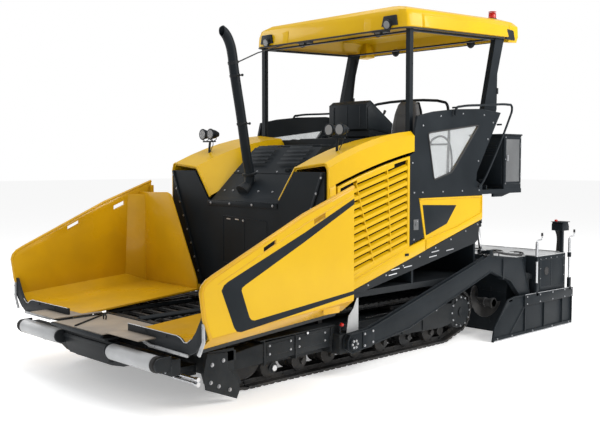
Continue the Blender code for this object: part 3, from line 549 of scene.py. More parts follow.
def makeWings():
    out = wing["outside"]
    rear = wing["rear"]
    lowFront = floorAt(-0.90) + 0.085
    lowRear = floorAt(rear) + 0.085
    top = [(0.112, 1.619), (-0.87, 1.178), (-0.938, 1.143), (-0.975, 1.105), (-0.990, 1.06), (-0.962, 0.85),
           (-0.905, lowFront)]
    side = plate("side", [(rear, lowRear), (rear, 1.849), *top], 'x', out - wing["sheet"], out)
    carve(side, *wingSlots())
    rings = []
    for station, low in ((-0.905, lowFront), (rear, lowRear)):
        base = low - 0.085
        rings.append([(out, station, low), (1.485, station, base - 0.025), (wing["hinge"], station, base - 0.022),
                    (wing["hinge"], station, base), (1.475, station, base),
                    (out - wing["sheet"], station, low + 0.006)])
    tray = skin("tray", rings)
    base = floorAt(wing["wallRear"])
    inner = out - wing["sheet"]
    # the left wall's inner end is lower
    for which, drop in (("left", wing["leftDrop"]), ("right", 0.0)):
        wall = plate("back", [(wing["hinge"], base), (1.475, base), (inner, base + 0.09), (inner, 1.735),
                    (1.47, 1.725 - drop / 8),
                    (1.05, 1.735 - drop), (0.98, 1.71 - drop), (wing["hinge"] + 0.02, base + 0.10)],
                'y', wing["wallRear"], wing["wallRear"] + 0.02)
        corner = skin("corner", [[(inner + 0.002, start, z), (inner + 0.002, 0.572, z), (1.47, 0.572, z)]
                    for start, z in ((0.36, base + 0.005), (0.41, 1.70 - drop / 8))])
        wall = soften(join("wing_rear_wall", wall, corner), 0.005)
        if which == "right":
            flipped = mirrored(wall, "wing_rear_wall_right")
            bpy.data.objects.remove(wall)
            wall = flipped
        else:
            wall.name = "wing_rear_wall_left"
        fit(wall, "wing_" + which, hopperPaint)
    edge = [(out - 0.012, s, z) for s, z in [(rear, 1.846), *top]]
    lip = tube("lip", edge, wing["lip"], 10, smooth=False)
    inset = tube("press", [(out - 0.002, s, z) for s, z in ((rear - 0.01, 1.77), (0.13, 1.545), (-0.83, 1.115))],
            0.006, 6, smooth=False)
    rib = block("rib", (inner - 0.05, 0.70, lowRear), (inner, rear, 1.80))
    shell = soften(join("wing_shell", side, tray, rib), 0.005)
    fitPair(join("wing_shell", shell, lip, inset), "wing_{}", hopperPaint, ["wing_{}"])

    face = 0.0015
    outer = [(0.7345, 1.742), (0.112, 1.468), (-0.73, 1.125), (-0.772, 1.10), (-0.797, 1.059), (-0.672, 0.752),
            (-0.645, 0.715), (-0.600, 0.704), (0.7345, 0.868)]
    innerLine = [(0.7345, 0.902), (-0.455, 0.781), (-0.490, 0.790), (-0.510, 0.815), (-0.592, 1.040),
            (-0.585, 1.062), (-0.555, 1.080), (0.112, 1.388), (0.7345, 1.690)]
    stripe = plate("wing_stripe", outer + innerLine, 'x', out - 0.001, out + face)
    fitPair(stripe, "wing_{}", blackPaint)
    skinOut = plate("wing_outer_skin", [(rear - 0.002, lowRear + 0.012), (rear - 0.002, 1.825), (0.112, 1.598),
                (-0.86, 1.163), (-0.925, 1.130), (-0.958, 1.10), (-0.972, 1.058),
                (-0.948, 0.86), (-0.893, lowFront + 0.008)], 'x', out - 0.002, out + 0.0005)
    fitPair(carve(skinOut, *wingSlots()), "wing_{}", yellowPaint)

    front = plate("wing_front_plate", [(0.52, 0.575), (0.62, 0.548), (1.42, 0.535), (1.50, 0.575), (1.625, 0.69),
                (1.612, 0.86), (1.575, 0.862), (1.50, 0.735), (1.44, 0.665), (1.385, 0.628),
                (1.345, 0.626), (1.30, 0.655), (1.25, 0.668), (0.52, 0.672)], 'y', -0.955, -0.935)
    soften(front, 0.004)
    hooks = bolts("hooks", [(x, -0.955, 0.645) for x in (0.80, 1.10)], (0, -1, 0), 0.010)
    beam = plate("hinge_beam", [(0.56, floorAt(-0.9) - 0.024), (1.40, floorAt(-0.9) - 0.024), (1.34, 0.50),
                (0.60, 0.52)],
            'y', -0.93, -0.90)
    # a black rail under the floor's outer edge: partly the hinge beam, partly painted shade for the shadow under
    # the floor's edge
    under = skin("under", [[(1.46, s, floorAt(s) - 0.026), (1.30, s, floorAt(s) - 0.026),
                    (1.30, s, floorAt(s) - 0.075), (1.42, s, floorAt(s) - 0.075)] for s in (-0.90, 0.70)])
    fitPair(join("wing_front_plate", front, hooks, beam, under), "wing_{}", frameBlack)
    edgeLight = tube("wing_plate_edge", [(0.53, -0.957, 0.674), (1.25, -0.957, 0.670), (1.30, -0.957, 0.657),
                (1.345, -0.957, 0.628), (1.385, -0.957, 0.630), (1.44, -0.957, 0.667)], 0.004, 6, smooth=False)
    fitPair(edgeLight, "wing_{}", brightSteel)
    low = plate("low_strip", [(0.735, 0.574), (0.765, 0.582), (0.875, 0.548), (1.40, 0.540), (1.405, 0.516),
                (0.865, 0.519), (0.745, 0.556)], 'y', -0.972, -0.955)
    corner = plate("corner_strip", [(1.60, 0.815), (1.622, 0.815), (1.627, 0.665), (1.565, 0.545), (1.535, 0.555),
                (1.600, 0.672)], 'y', -0.972, -0.955)
    strips = soften(join("white_strips", low, corner), 0.003)
    fitPair(strips, "wing_{}", whiteCoat)
    screws = bolts("strip_screws", [(0.82, -0.972, 0.547), (0.95, -0.972, 0.534), (1.12, -0.972, 0.531),
                (1.30, -0.972, 0.528), (1.612, -0.972, 0.780), (1.614, -0.972, 0.690),
                (1.575, -0.972, 0.600)], (0, -1, 0), 0.006)
    fitPair(screws, "wing_{}", zincBolt)
    flap = plate("wing_flap", [(0.46, -0.62), (0.80, -0.62), (0.95, -0.95), (0.95, -1.13), (0.46, -1.13)], 'z',
            0.598, 0.610)
    fitPair(soften(flap, 0.004), "wing_{}", tanRubber)


makeWings()
print("hopper wings made")


# apron, push beam and rollers
def makeHopperFront():
    sheetLeft = plate("apron_left", [(0.44, -0.56), (-0.43, -0.56), (-0.03, -1.165), (0.44, -1.165)], 'z', 0.584,
            0.596)
    sheetRight = plate("apron_right", [(-0.44, -0.56), (-0.40, -0.56), (-0.01, -1.165), (-0.44, -1.165)], 'z',
            0.574, 0.5835)
    sheets = soften(join("apron_sheets", sheetLeft, sheetRight), 0.003)
    fit(sheets, "apron", tanRubber, ["apron"])
    seam = tube("apron_seam", [(-0.425, -0.57, 0.600), (-0.03, -1.155, 0.600)], 0.010, 8, smooth=False)
    nose = plate("apron_nose", [(-0.44, 0.555), (0.44, 0.555), (0.44, 0.585), (-0.44, 0.585)], 'y', -1.178, -1.150)
    eye = tube("eye", [(-0.17, -0.78, 0.596), (-0.17, -0.78, 0.625), (-0.13, -0.78, 0.635), (-0.13, -0.78, 0.596)],
            0.007, 8)
    bar = block("bar", (-0.44, -0.60, 0.585), (0.44, -0.56, 0.604))
    fit(join("apron_edges", seam, soften(nose, 0.004), eye, soften(bar)), "apron", blackPaint)

    beam = {"top": 0.50, "front": -1.05}
    body = plate("beam", [(-1.22, 0.33), (-0.62, 0.33), (-0.50, 0.29), (-0.30, 0.268), (0.30, 0.268), (0.50, 0.29),
                (0.62, 0.33), (1.22, 0.33), (1.22, 0.47), (-1.22, 0.47)], 'y', -0.99, -0.90)
    nose = plate("nose", [(-0.42, beam["top"]), (0.42, beam["top"]), (0.42, 0.40), (0.33, 0.30), (-0.33, 0.30),
                (-0.42, 0.40)], 'y', beam["front"], -0.98)
    shelf = plate("shelf", [(-0.43, 0.545), (0.43, 0.545), (0.43, 0.525), (-0.43, 0.525)], 'y', -1.13, -0.985)
    brow = plate("brow", [(-0.42, 0.475), (0.42, 0.475), (0.42, 0.440), (-0.42, 0.440)], 'y', -1.068, -1.045)
    parts = [body, nose, shelf, brow]
    for side in (1, -1):
        for x, thick in ((0.425, 0.022), (1.192, 0.022)):
            ear = [(-0.985, 0.38), (-1.087, 0.372), *arcPoints((-1.087, 0.4375), 0.062, 250, 110, 7),
                    (-0.985, 0.50)]
            low, high = sorted((side * x, side * (x + thick)))
            parts.append(plate("ear", ear, 'x', low, high))
        low, high = sorted((side * 0.55, side * 1.10))
        parts.append(block("rib", (low, -1.000, 0.36), (high, -0.985, 0.44)))
    body = soften(join("push_beam_body", *parts), 0.005)
    tongue = rod("tongue", (0, -0.88, 0.345), (0, -0.88, 0.452), 0.05, 24)
    fit(join("push_beam_body", body, tongue), "push_beam", frameBlack, ["push_beam"])
    heads = bolts("push_beam_bolts", [(x, -1.001, z) for x in (-1.15, -0.9, -0.75, -0.6, 0.6, 0.75, 0.9, 1.15)
                for z in (0.36, 0.44)], (0, -1, 0), 0.009)
    fit(heads, "push_beam", zincBolt)

    inner, outer, station, height, radius = 0.452, 1.185, -1.087, 0.4375, 0.07
    drum = rod("push_roller", (inner + 0.035, station, height), (outer - 0.055, station, height), radius, 48)
    dome = rod("dome", (inner + 0.002, station, height), (inner + 0.036, station, height), radius * 0.80, 48,
            radius)
    ring = rod("ring", (outer - 0.056, station, height), (outer - 0.046, station, height), radius, 48,
            radius * 0.93)
    roller = soften(join("push_roller", drum, dome, ring), 0.004)
    fitPair(roller, "push_roller_{}", whiteCoat, ["push_roller_{}"])
    cap = rod("cap", (outer - 0.048, station, height), (outer - 0.012, station, height), radius * 0.94, 32)
    hub = rod("hub", (outer - 0.014, station, height), (outer - 0.001, station, height), radius * 0.55, 24)
    grooves = [rod("groove", (outer - 0.044 + 0.012 * k, station, height),
                (outer - 0.039 + 0.012 * k, station, height),
                radius * 0.99, 32) for k in range(3)]
    inCap = rod("cap", (inner + 0.0005, station, height), (inner + 0.006, station, height), radius * 0.7, 24)
    spots = [(outer - 0.001, station + 0.030 * math.cos(a), height + 0.030 * math.sin(a))
            for a in (0.4, 1.65, 2.9, 4.2, 5.4)]
    caps = join("roller_caps", cap, hub, *grooves, inCap)
    fitPair(soften(caps, 0.002), "push_roller_{}", blackRubber)
    fitPair(bolts("roller_bolts", spots, (1, 0, 0), 0.005), "push_roller_{}", zincBolt)

    rods = [rod("rod", (0.97, -0.80, z), (1.30, -0.80, z + 0.004), 0.013, 14) for z in (0.252, 0.290)]
    rods += [rod("end", (1.285, -0.80, z), (1.325, -0.80, z), 0.020, 14) for z in (0.252, 0.292)]
    bridge = block("bridge", (0.98, -0.815, 0.245), (1.00, -0.785, 0.30))
    holder = join("tow_pins", *rods, soften(bridge))
    fitPair(holder, "tractor", brightSteel)
    carrier = block("pin_carrier", (0.62, -0.79, 0.30), (1.05, -0.62, 0.345))
    arm = block("arm", (1.0, -0.79, 0.25), (1.03, -0.60, 0.345))
    fitPair(soften(join("pin_carrier", carrier, arm)), "tractor", frameBlack)


makeHopperFront()
print("apron, push beam and rollers made")


# conveyors
def makeConveyors():
    conveyor = {"top": 0.565, "thick": 0.12, "front": -0.45, "rear": 3.10, "pitch": 0.17}
    low = conveyor["top"] - conveyor["thick"]
    middleHeight = (conveyor["top"] + low) / 2
    slat = plate("slat", [(0, 0), (0.045, 0), (0.040, 0.022), (0.005, 0.022)], 'x', 0.06, 0.52)
    slat.data.transform(Matrix.Translation((0, 0, conveyor["top"] - 0.022)))
    slat.data.transform(Matrix.Translation((0, conveyor["front"], 0)))
    count = int((conveyor["rear"] - conveyor["front"]) / conveyor["pitch"])
    top = row("conveyor_slats", slat, count, (0, conveyor["pitch"], 0))
    below = copied(top, Matrix.Translation((0, 0.08, -0.098)))
    belt = []
    for x in (0.045, 0.535):
        link = plate("link", arcPoints((0.04, 0), 0.022, 90, 270, 6) + arcPoints((0.10, 0), 0.022, -90, 90, 6),
                'x', x - 0.012, x + 0.012)
        link.data.transform(Matrix.Translation((0, conveyor["front"] - 0.04, conveyor["top"] - 0.024)))
        chain = row("chain", link, int((conveyor["rear"] - conveyor["front"]) / 0.115), (0, 0.115, 0))
        belt += [chain, copied(chain, Matrix.Translation((0, 0, -0.072)))]
    ends = []
    for station in (conveyor["front"], conveyor["rear"]):
        ends.append(rod("shaft", (0.035, station, middleHeight), (0.545, station, middleHeight), 0.032, 20))
        for x in (0.10, 0.48):
            ends.append(rod("sprocket", (x - 0.02, station, middleHeight), (x + 0.02, station, middleHeight), 0.050,
                        12))
    fitPair(join("conveyor_slats", top, below, *belt, *ends), "tractor", trackSteel, ["conveyor_{}"])
    # the floor plate under the slats is drawn in the painted-shade black, for the shade in the conveyor tunnel
    floor = block("conveyor_floor", (0.032, -0.44, 0.495), (0.55, 3.09, 0.507))
    fitPair(soften(floor, 0.002), "tractor", paintedShadeBlack)
    guard = plate("conveyor_guard", [(0.0, 0.608), (0.030, 0.582), (0.030, 0.5665), (-0.030, 0.5665),
                (-0.030, 0.582)],
            'y', -0.50, 3.05)
    rails = [plate("rail", [(s * 0.556, 0.568), (s * 0.598, 0.568), (s * 0.598, 0.600), (s * 0.570, 0.600)], 'y',
                -0.50, 0.55) for s in (1, -1)]
    fit(soften(join("conveyor_guard", guard, *rails), 0.003), "tractor", blackPaint)


makeConveyors()
print("conveyors made")


# tractor front wall and hood
def makeFront():
    wall = 0.765
    panels = []
    door = [(-0.30, 1.50), (0.40, 1.47), (0.40, 0.98), (-0.30, 1.00)]
    for (x0, z0), (x1, z1) in zip(door, door[1:] + door[:1]):
        panels.append(rod("seam", (x0, wall - 0.001, z0), (x1, wall - 0.001, z1), 0.004, 6))
    panels.append(rod("seam", (0.05, wall - 0.001, 1.485), (0.05, wall - 0.001, 1.0), 0.003, 6))
    for side in (1, -1):
        flange = plate("flange", [(side * 1.214, 1.97), (side * 1.185, 1.97), (side * 0.632, 0.66),
                    (side * 0.655, 0.62)],
                'y', wall - 0.016, wall - 0.0005)
        panels.append(flange)
    lintel = plate("lintel", [(-0.56, 1.655), (0.56, 1.655), (0.56, 1.60), (-0.56, 1.60)], 'y', wall - 0.010, wall)
    fit(soften(join("front_wall_panels", *panels, lintel), 0.002), "tractor", blackPaint)
    dots = []
    for side in (1, -1):
        dots += along((side * 1.19, wall - 0.017, 1.92), (side * 0.66, wall - 0.017, 0.72), 9)
    dots += [(x, wall - 0.011, 1.63) for x in (-0.50, -0.18, 0.18, 0.50)]
    dots += [(0.03, wall, 1.46)]
    fit(bolts("front_wall_bolts", dots, (0, -1, 0), 0.009), "tractor", zincBolt)
    tags = [plate("tag", [(x, 1.475), (x + 0.06, 1.472), (x + 0.06, 1.462), (x, 1.465)], 'y', wall - 0.004,
                wall - 0.0005)
            for x in (-0.24, -0.10)]
    fit(join("front_wall_tags", *tags), "tractor", brightSteel)

    rim = []
    for side in (1, -1):
        line = [(1.245, 0.83), (1.245, 1.98), (1.225, 2.045), (1.195, 2.055), (0.795, 2.012), (0.560, 1.692)]
        rim.append(tube("rim", [(side * x, 0.790, z) for x, z in line], 0.012, 8, smooth=False))
    fit(join("shoulder_rims", *rim), "tractor", yellowPaint)

    grilles = []
    for side in (1, -1):
        for k in range(5):
            station = 1.17 + 0.046 * k
            height = 2.002 + (station - 1.11) * 0.903 + 0.004
            x0, x1 = sorted((side * 0.10, side * 0.44))
            grilles.append(skin("slot", [[(x, station, height - 0.006), (x, station + 0.022, height + 0.014),
                            (x, station + 0.026, height + 0.002)] for x in (x0, x1)]))
    for k in range(7):
        station = 1.50 + 0.075 * k
        grilles.append(skin("slot", [[(x, station, 2.238), (x, station + 0.012, 2.256), (x, station + 0.045, 2.254),
                        (x, station + 0.05, 2.238)] for x in (-0.42, 0.42)]))
    frameBars = [block("bar", (-0.50, 1.44, 2.232), (0.50, 1.465, 2.250)),
            block("bar", (-0.50, 2.015, 2.235), (0.50, 2.038, 2.254))]
    latch = [block("latch", (x - 0.03, 1.115, 1.985), (x + 0.03, 1.155, 2.02)) for x in (-0.32, 0.32)]
    for piece in latch:
        piece.data.transform(Matrix.Translation((0, 0, -0.015)))
    fit(soften(join("hood_grilles", *grilles, *frameBars, *latch), 0.002), "hood", blackPaint)
    spots = [(x, 1.125, 1.966) for x in (-0.48, -0.16, 0.16, 0.48)]
    fit(bolts("hood_bolts", spots, (0, -0.67, 0.74), 0.008), "hood", zincBolt)
    spots = [(x, 0.90, 1.762) for x in (-0.44, -0.3, 0.12, 0.34)]
    fit(bolts("fixed_hood_bolts", spots, (0, -0.67, 0.74), 0.009), "tractor", zincBolt)


makeFront()
print("front wall and hood made")


# exhaust
def makeExhaust():
    pipe = tube("exhaust_pipe", [(-0.10, 0.900, 1.790), (-0.10, 0.945, 1.83), (-0.10, 0.965, 1.92),
                (-0.10, 0.93, 2.10),
                (-0.10, 0.85, 2.55), (-0.10, 0.752, 3.06), (-0.10, 0.735, 3.18), (-0.10, 0.70, 3.30),
                (-0.10, 0.64, 3.39), (-0.10, 0.585, 3.425)], 0.052, 24)
    cutter = block("cutter", (-0.2, 0.45, 3.30), (0.0, 0.60, 3.60))
    carve(pipe, cutter)
    bore = rod("bore", (-0.10, 0.66, 3.375), (-0.10, 0.55, 3.44), 0.044, 24)
    carve(pipe, bore)
    fit(soften(pipe, 0.003), "tractor", blackPaint, ["exhaust"])
    clamps = [rod("clamp", (-0.10, 0.865, 2.46), (-0.10, 0.861, 2.485), 0.058, 24),
            rod("clamp", (-0.10, 0.772, 2.955), (-0.10, 0.767, 2.98), 0.058, 24),
            rod("flange", (-0.10, 0.9645, 1.93), (-0.10, 0.9600, 1.955), 0.078, 24),
            rod("elbow", (-0.10, 0.865, 1.755), (-0.10, 0.935, 1.815), 0.082, 24, 0.060),
            rod("peg", (-0.045, 0.767, 2.965), (0.02, 0.767, 2.965), 0.008, 10),
            rod("peg", (-0.045, 0.863, 2.47), (0.02, 0.863, 2.47), 0.008, 10),
            rod("knob", (0.015, 0.767, 2.965), (0.03, 0.767, 2.965), 0.014, 10),
            rod("knob", (0.015, 0.863, 2.47), (0.03, 0.863, 2.47), 0.014, 10)]
    fit(soften(join("exhaust_clamps", *clamps), 0.003), "tractor", frameBlack)


makeExhaust()
print("exhaust made")


# louvred side doors
door = {"front": 0.905, "rear": 1.98, "inside": 1.222, "face": 1.258, "slope": 0.2762, "pitch": 0.0800, "rows": 14}


def yellowLow(station):
    return 0.857 + door["slope"] * (station - 1.244)


def shoulderEdge(station):
    share = (station - 0.765) / 1.295
    return 1.815 + 0.365 * share + 0.12 * share * (1 - share)


def bandTop(station):
    return 0.965 + 0.305 * (station - 1.222)


def makeDoors():
    gap = 0.035
    inside, face = door["inside"], door["face"]
    top = [(s, shoulderEdge(s) - gap) for s in (1.98, 1.80, 1.55, 1.25, 1.05, 0.905)]
    outline = [(0.905, 0.80), (1.045, 0.802), (2.247, yellowLow(2.247)), (2.235, yellowLow(2.235) + 0.125),
            (1.98, 1.19)] + top
    hole = [(0.945, bandTop(0.945) + 0.03), (1.945, bandTop(1.945) + 0.03)]
    hole += [(s, shoulderEdge(s) - gap - 0.028) for s in (1.945, 1.80, 1.55, 1.25, 0.945)]
    ring = carve(plate("ring", outline, 'x', inside, face), plate("hole", hole, 'x', inside - 0.1, face + 0.1))
    band = plate("band", [(1.06, 0.812), (2.236, yellowLow(2.236) + 0.008), (2.228, yellowLow(2.228) + 0.112),
                (1.99, bandTop(1.99) - 0.01), (0.93, bandTop(0.93) - 0.01), (0.93, 0.812)], 'x',
            face - 0.002, face + 0.006)
    soften(ring, 0.004)
    soften(band, 0.005, 3)
    slats = []
    for k in range(door["rows"]):
        base = bandTop(1.2) + 0.028 + k * door["pitch"]

        def height(station):
            return base + door["slope"] * (station - 1.2)

        stations = [0.945 + 0.005 * j for j in range(200)]
        clear = [s for s in stations if height(s) + 0.050 < shoulderEdge(s) - gap - 0.012
                and height(s) > bandTop(s) + 0.005]
        if len(clear) < 12:
            continue
        ends = (clear[0], min(clear[-1], 1.950))
        slats.append(skin("slat", [[(inside + 0.006, s, height(s) + 0.058), (face - 0.001, s, height(s) + 0.038),
                        (face - 0.001, s, height(s) + 0.004), (face - 0.008, s, height(s)),
                        (inside + 0.006, s, height(s) + 0.010)] for s in ends]))
    ribs = []
    for (s1, z1), (s2, z2) in (((1.164, 1.868), (1.43, 1.06)), ((1.62, 2.045), (1.69, 1.13))):
        ribs.append(skin("rib", [[(inside + 0.004, s - 0.011, z), (face + 0.001, s - 0.006, z),
                        (face + 0.001, s + 0.006, z), (inside + 0.004, s + 0.011, z)]
                        for s, z in ((s1, z1), (s2, z2))]))
    whole = join("louvre_door", ring, band, *slats, *ribs)
    fitPair(whole, "louvre_door_{}", yellowPaint, ["louvre_door_{}"])
    # a painted-shade black sheet behind the louvre slats, standing in for the shade inside the body seen through
    # the gaps
    back = plate("door_shade_backing", hole, 'x', inside - 0.004, inside - 0.001)
    fitPair(back, "louvre_door_{}", paintedShadeBlack)
    catch = block("catch", (face + 0.006, 1.90, 1.10), (face + 0.016, 1.955, 1.125))
    hinge = [rod("hinge", (face - 0.003, 0.918, z), (face - 0.003, 0.918, z + 0.10), 0.008, 12)
            for z in (1.0, 1.62)]
    fitPair(soften(join("door_hardware", catch, *hinge), 0.002), "louvre_door_{}", blackPaint)
    # a painted-shade black sheet inside the body side behind the doors, standing in for the shade seen through the
    # gap between the doors and the shoulders
    liner = plate("body_shade_sheet", [(0.83, 0.81), (2.05, 0.90), (2.05, 2.20)] +
            [(s, shoulderEdge(s) + 0.03) for s in (1.9, 1.5, 1.2, 0.83)], 'x', 1.085, 1.090)
    fitPair(liner, "tractor", paintedShadeBlack)


def makeEngineBay():
    # what shows when a door is open
    tank = rod("tank", (1.10, 1.02, 1.42), (1.10, 1.30, 1.42), 0.085, 32)
    neck = rod("neck", (1.10, 1.30, 1.42), (1.10, 1.36, 1.42), 0.045, 24)
    core = block("core", (1.10, 1.44, 1.14), (1.188, 1.88, 1.72))
    fins = [block("fin", (1.186, 1.46, 1.17 + 0.036 * k), (1.196, 1.86, 1.185 + 0.036 * k)) for k in range(15)]
    base = block("base", (1.06, 0.98, 1.08), (1.17, 1.38, 1.28))
    fitPair(soften(join("engine_bay", tank, neck, core, base, *fins), 0.004), "tractor", mouldedGrey)
    hoses = [tube("hose", [(1.15, 1.36, z), (1.16, 1.41, z + 0.03), (1.16, 1.43, z + 0.10), (1.15, 1.46, z + 0.13)],
                0.018, 10)
            for z in (1.16, 1.24)]
    hoses.append(tube("hose", [(1.10, 1.36, 1.42), (1.12, 1.41, 1.45), (1.14, 1.46, 1.55)], 0.022, 10))
    fitPair(join("engine_bay_hoses", *hoses), "tractor", blackRubber)


makeDoors()
makeEngineBay()
print("louvred doors made")


# body sides, windows and rails
def makeSides():
    face = bodySide
    plateOutline = [(2.20, 1.618), (2.793, 1.596), (2.622, 1.400), (2.262, 1.292)]
    blank = soften(plate("name_panel", plateOutline, 'x', face - 0.001, face + 0.0035), 0.002)
    fitPair(blank, "tractor", blackPaint)
    lipTop = plate("lip", [(2.15, 1.688), (3.28, 1.688), (3.28, 1.672), (2.155, 1.672)], 'x', face - 0.001,
            face + 0.010)
    lipRear = plate("lip", [(3.262, 1.43), (3.282, 1.435), (3.282, 1.68), (3.262, 1.68)], 'x', face - 0.001,
            face + 0.008)
    lowBand = plate("lowBand", [(2.262, yellowLow(2.262) + 0.008), (3.275, yellowLow(3.275) + 0.008),
                (3.275, 1.50), (2.80, 1.36), (2.262, yellowLow(2.262) + 0.112)], 'x', face, face + 0.008)
    strip = plate("strip", [(0.80, 0.83), (0.885, 0.83), (0.885, 1.85), (0.80, 1.82)], 'x', face - 0.001,
            face + 0.006)
    trims = soften(join("yellow_side_trims", lipTop, lipRear, lowBand, strip), 0.004)
    fitPair(trims, "tractor", yellowPaint)

    slots = [plate("slot", [(s, z), (s + 0.13, z + 0.012), (s + 0.13, z + 0.022), (s, z + 0.010)], 'x',
                face - 0.001,
                face + 0.002) for s, z in ((1.66, 0.915), (1.90, 0.975), (2.32, 1.05), (2.62, 1.10), (1.70, 0.965),
                (2.36, 1.10))]
    fitPair(join("skirt_slots", *slots), "tractor", brightSteel)
    spots = [(face, s, yellowLow(s) - 0.035) for s in (1.35, 1.62, 1.89, 2.16, 2.43, 2.70, 2.97, 3.20)]
    spots += [(face, 2.06, 1.26), (face, 2.03, 2.06), (face, 2.06, 1.75), (face, 2.11, 1.45)]
    spots += [(face, s, z) for s, z in ((2.20, 2.45), (2.50, 2.56), (2.90, 2.60), (3.30, 2.60), (3.48, 2.52),
                (3.38, 2.33), (3.20, 2.08), (2.20, 1.75), (2.55, 1.75), (2.90, 1.75), (3.22, 1.75))]
    fitPair(bolts("side_bolts", spots, (1, 0, 0), 0.007), "tractor", zincBolt)
    lock = [block("lock", (face - 0.001, 2.05, 1.36), (face + 0.006, 2.13, 1.47)),
            rod("barrel", (face, 2.09, 1.42), (face + 0.014, 2.09, 1.42), 0.016, 20)]
    fitPair(soften(join("side_lock", *lock), 0.002), "tractor", mouldedGrey)

    corners = [(2.281, 2.375), (3.203, 2.485), (2.708, 1.961), (2.391, 1.878)]
    centre = Vector((sum(p[0] for p in corners) / 4, sum(p[1] for p in corners) / 4))
    gasket = []
    for k in range(4):
        before, here, after = (Vector(corners[(k + j) % 4]) for j in (-1, 0, 1))
        for share, other in ((0.06, before), (0.0, None), (0.06, after)):
            spot = here.lerp(other, share) if other else here.lerp(centre, 0.03)
            gasket.append((face + 0.001, spot.x, spot.y))
    gasket.append(gasket[0])
    fitPair(tube("window_gasket", gasket, 0.009, 8, smooth=False), "tractor", blackRubber)
    edge = [(2.108, 2.542), (2.385, 2.595), (2.746, 2.634), (3.261, 2.659), (3.634, 2.635), (3.485, 2.418),
            (3.172, 1.949), (3.165, 1.86)]
    rim = tube("rim", [(face - 0.013, s, z) for s, z in edge], 0.011, 8, smooth=False)
    rail = tube("rail", [(1.28, 2.711, 2.575), (1.285, 2.735, 2.655), (1.285, 2.80, 2.672), (1.285, 3.275, 2.709),
                (1.285, 3.74, 2.734), (1.285, 3.80, 2.725), (1.285, 3.812, 2.68), (1.285, 3.77, 2.59),
                (1.285, 3.23, 1.83), (1.27, 3.18, 1.79)], 0.014, 10)
    inner = tube("rail", [(1.16, 2.44, 1.80), (1.16, 2.42, 2.25), (1.16, 2.52, 2.33), (1.16, 2.72, 2.32),
                (1.16, 2.80, 2.20), (1.16, 2.80, 1.80)], 0.012, 10)
    knobs = [rod("stand", (1.225, s, z), (1.285, s, z), 0.010, 10) for s,
            z in ((3.25, 1.86), (2.74, 2.66), (3.60, 2.50))]
    fitPair(join("side_rails", rim, rail, inner, *knobs), "tractor", blackPaint)


makeSides()
print("body sides made")


# roof
roof = {"half": 1.20, "front": 1.99, "rear": 4.05, "edge": 3.46, "slope": 0.032, "depth": 0.245, "sheet": 0.03}


def roofAt(station):
    return roof["edge"] + roof["slope"] * (station - roof["front"])


def roofRing(side, ends, lift, corner=0.10):
    half = roof["half"] - side
    front = roof["front"] + ends * 0.5
    rear = roof["rear"] - ends
    plan = [(-half + corner, front), (half - corner, front), (half - corner * 0.3, front + corner * 0.35),
            (half, front + corner), (half, rear - corner * 0.7), (half - corner * 0.25, rear - corner * 0.2),
            (half - corner * 0.8, rear)]
    plan += [(-x, s) for x, s in plan[:1:-1]]
    return [(x, s, roofAt(s) + lift) for x, s in plan]


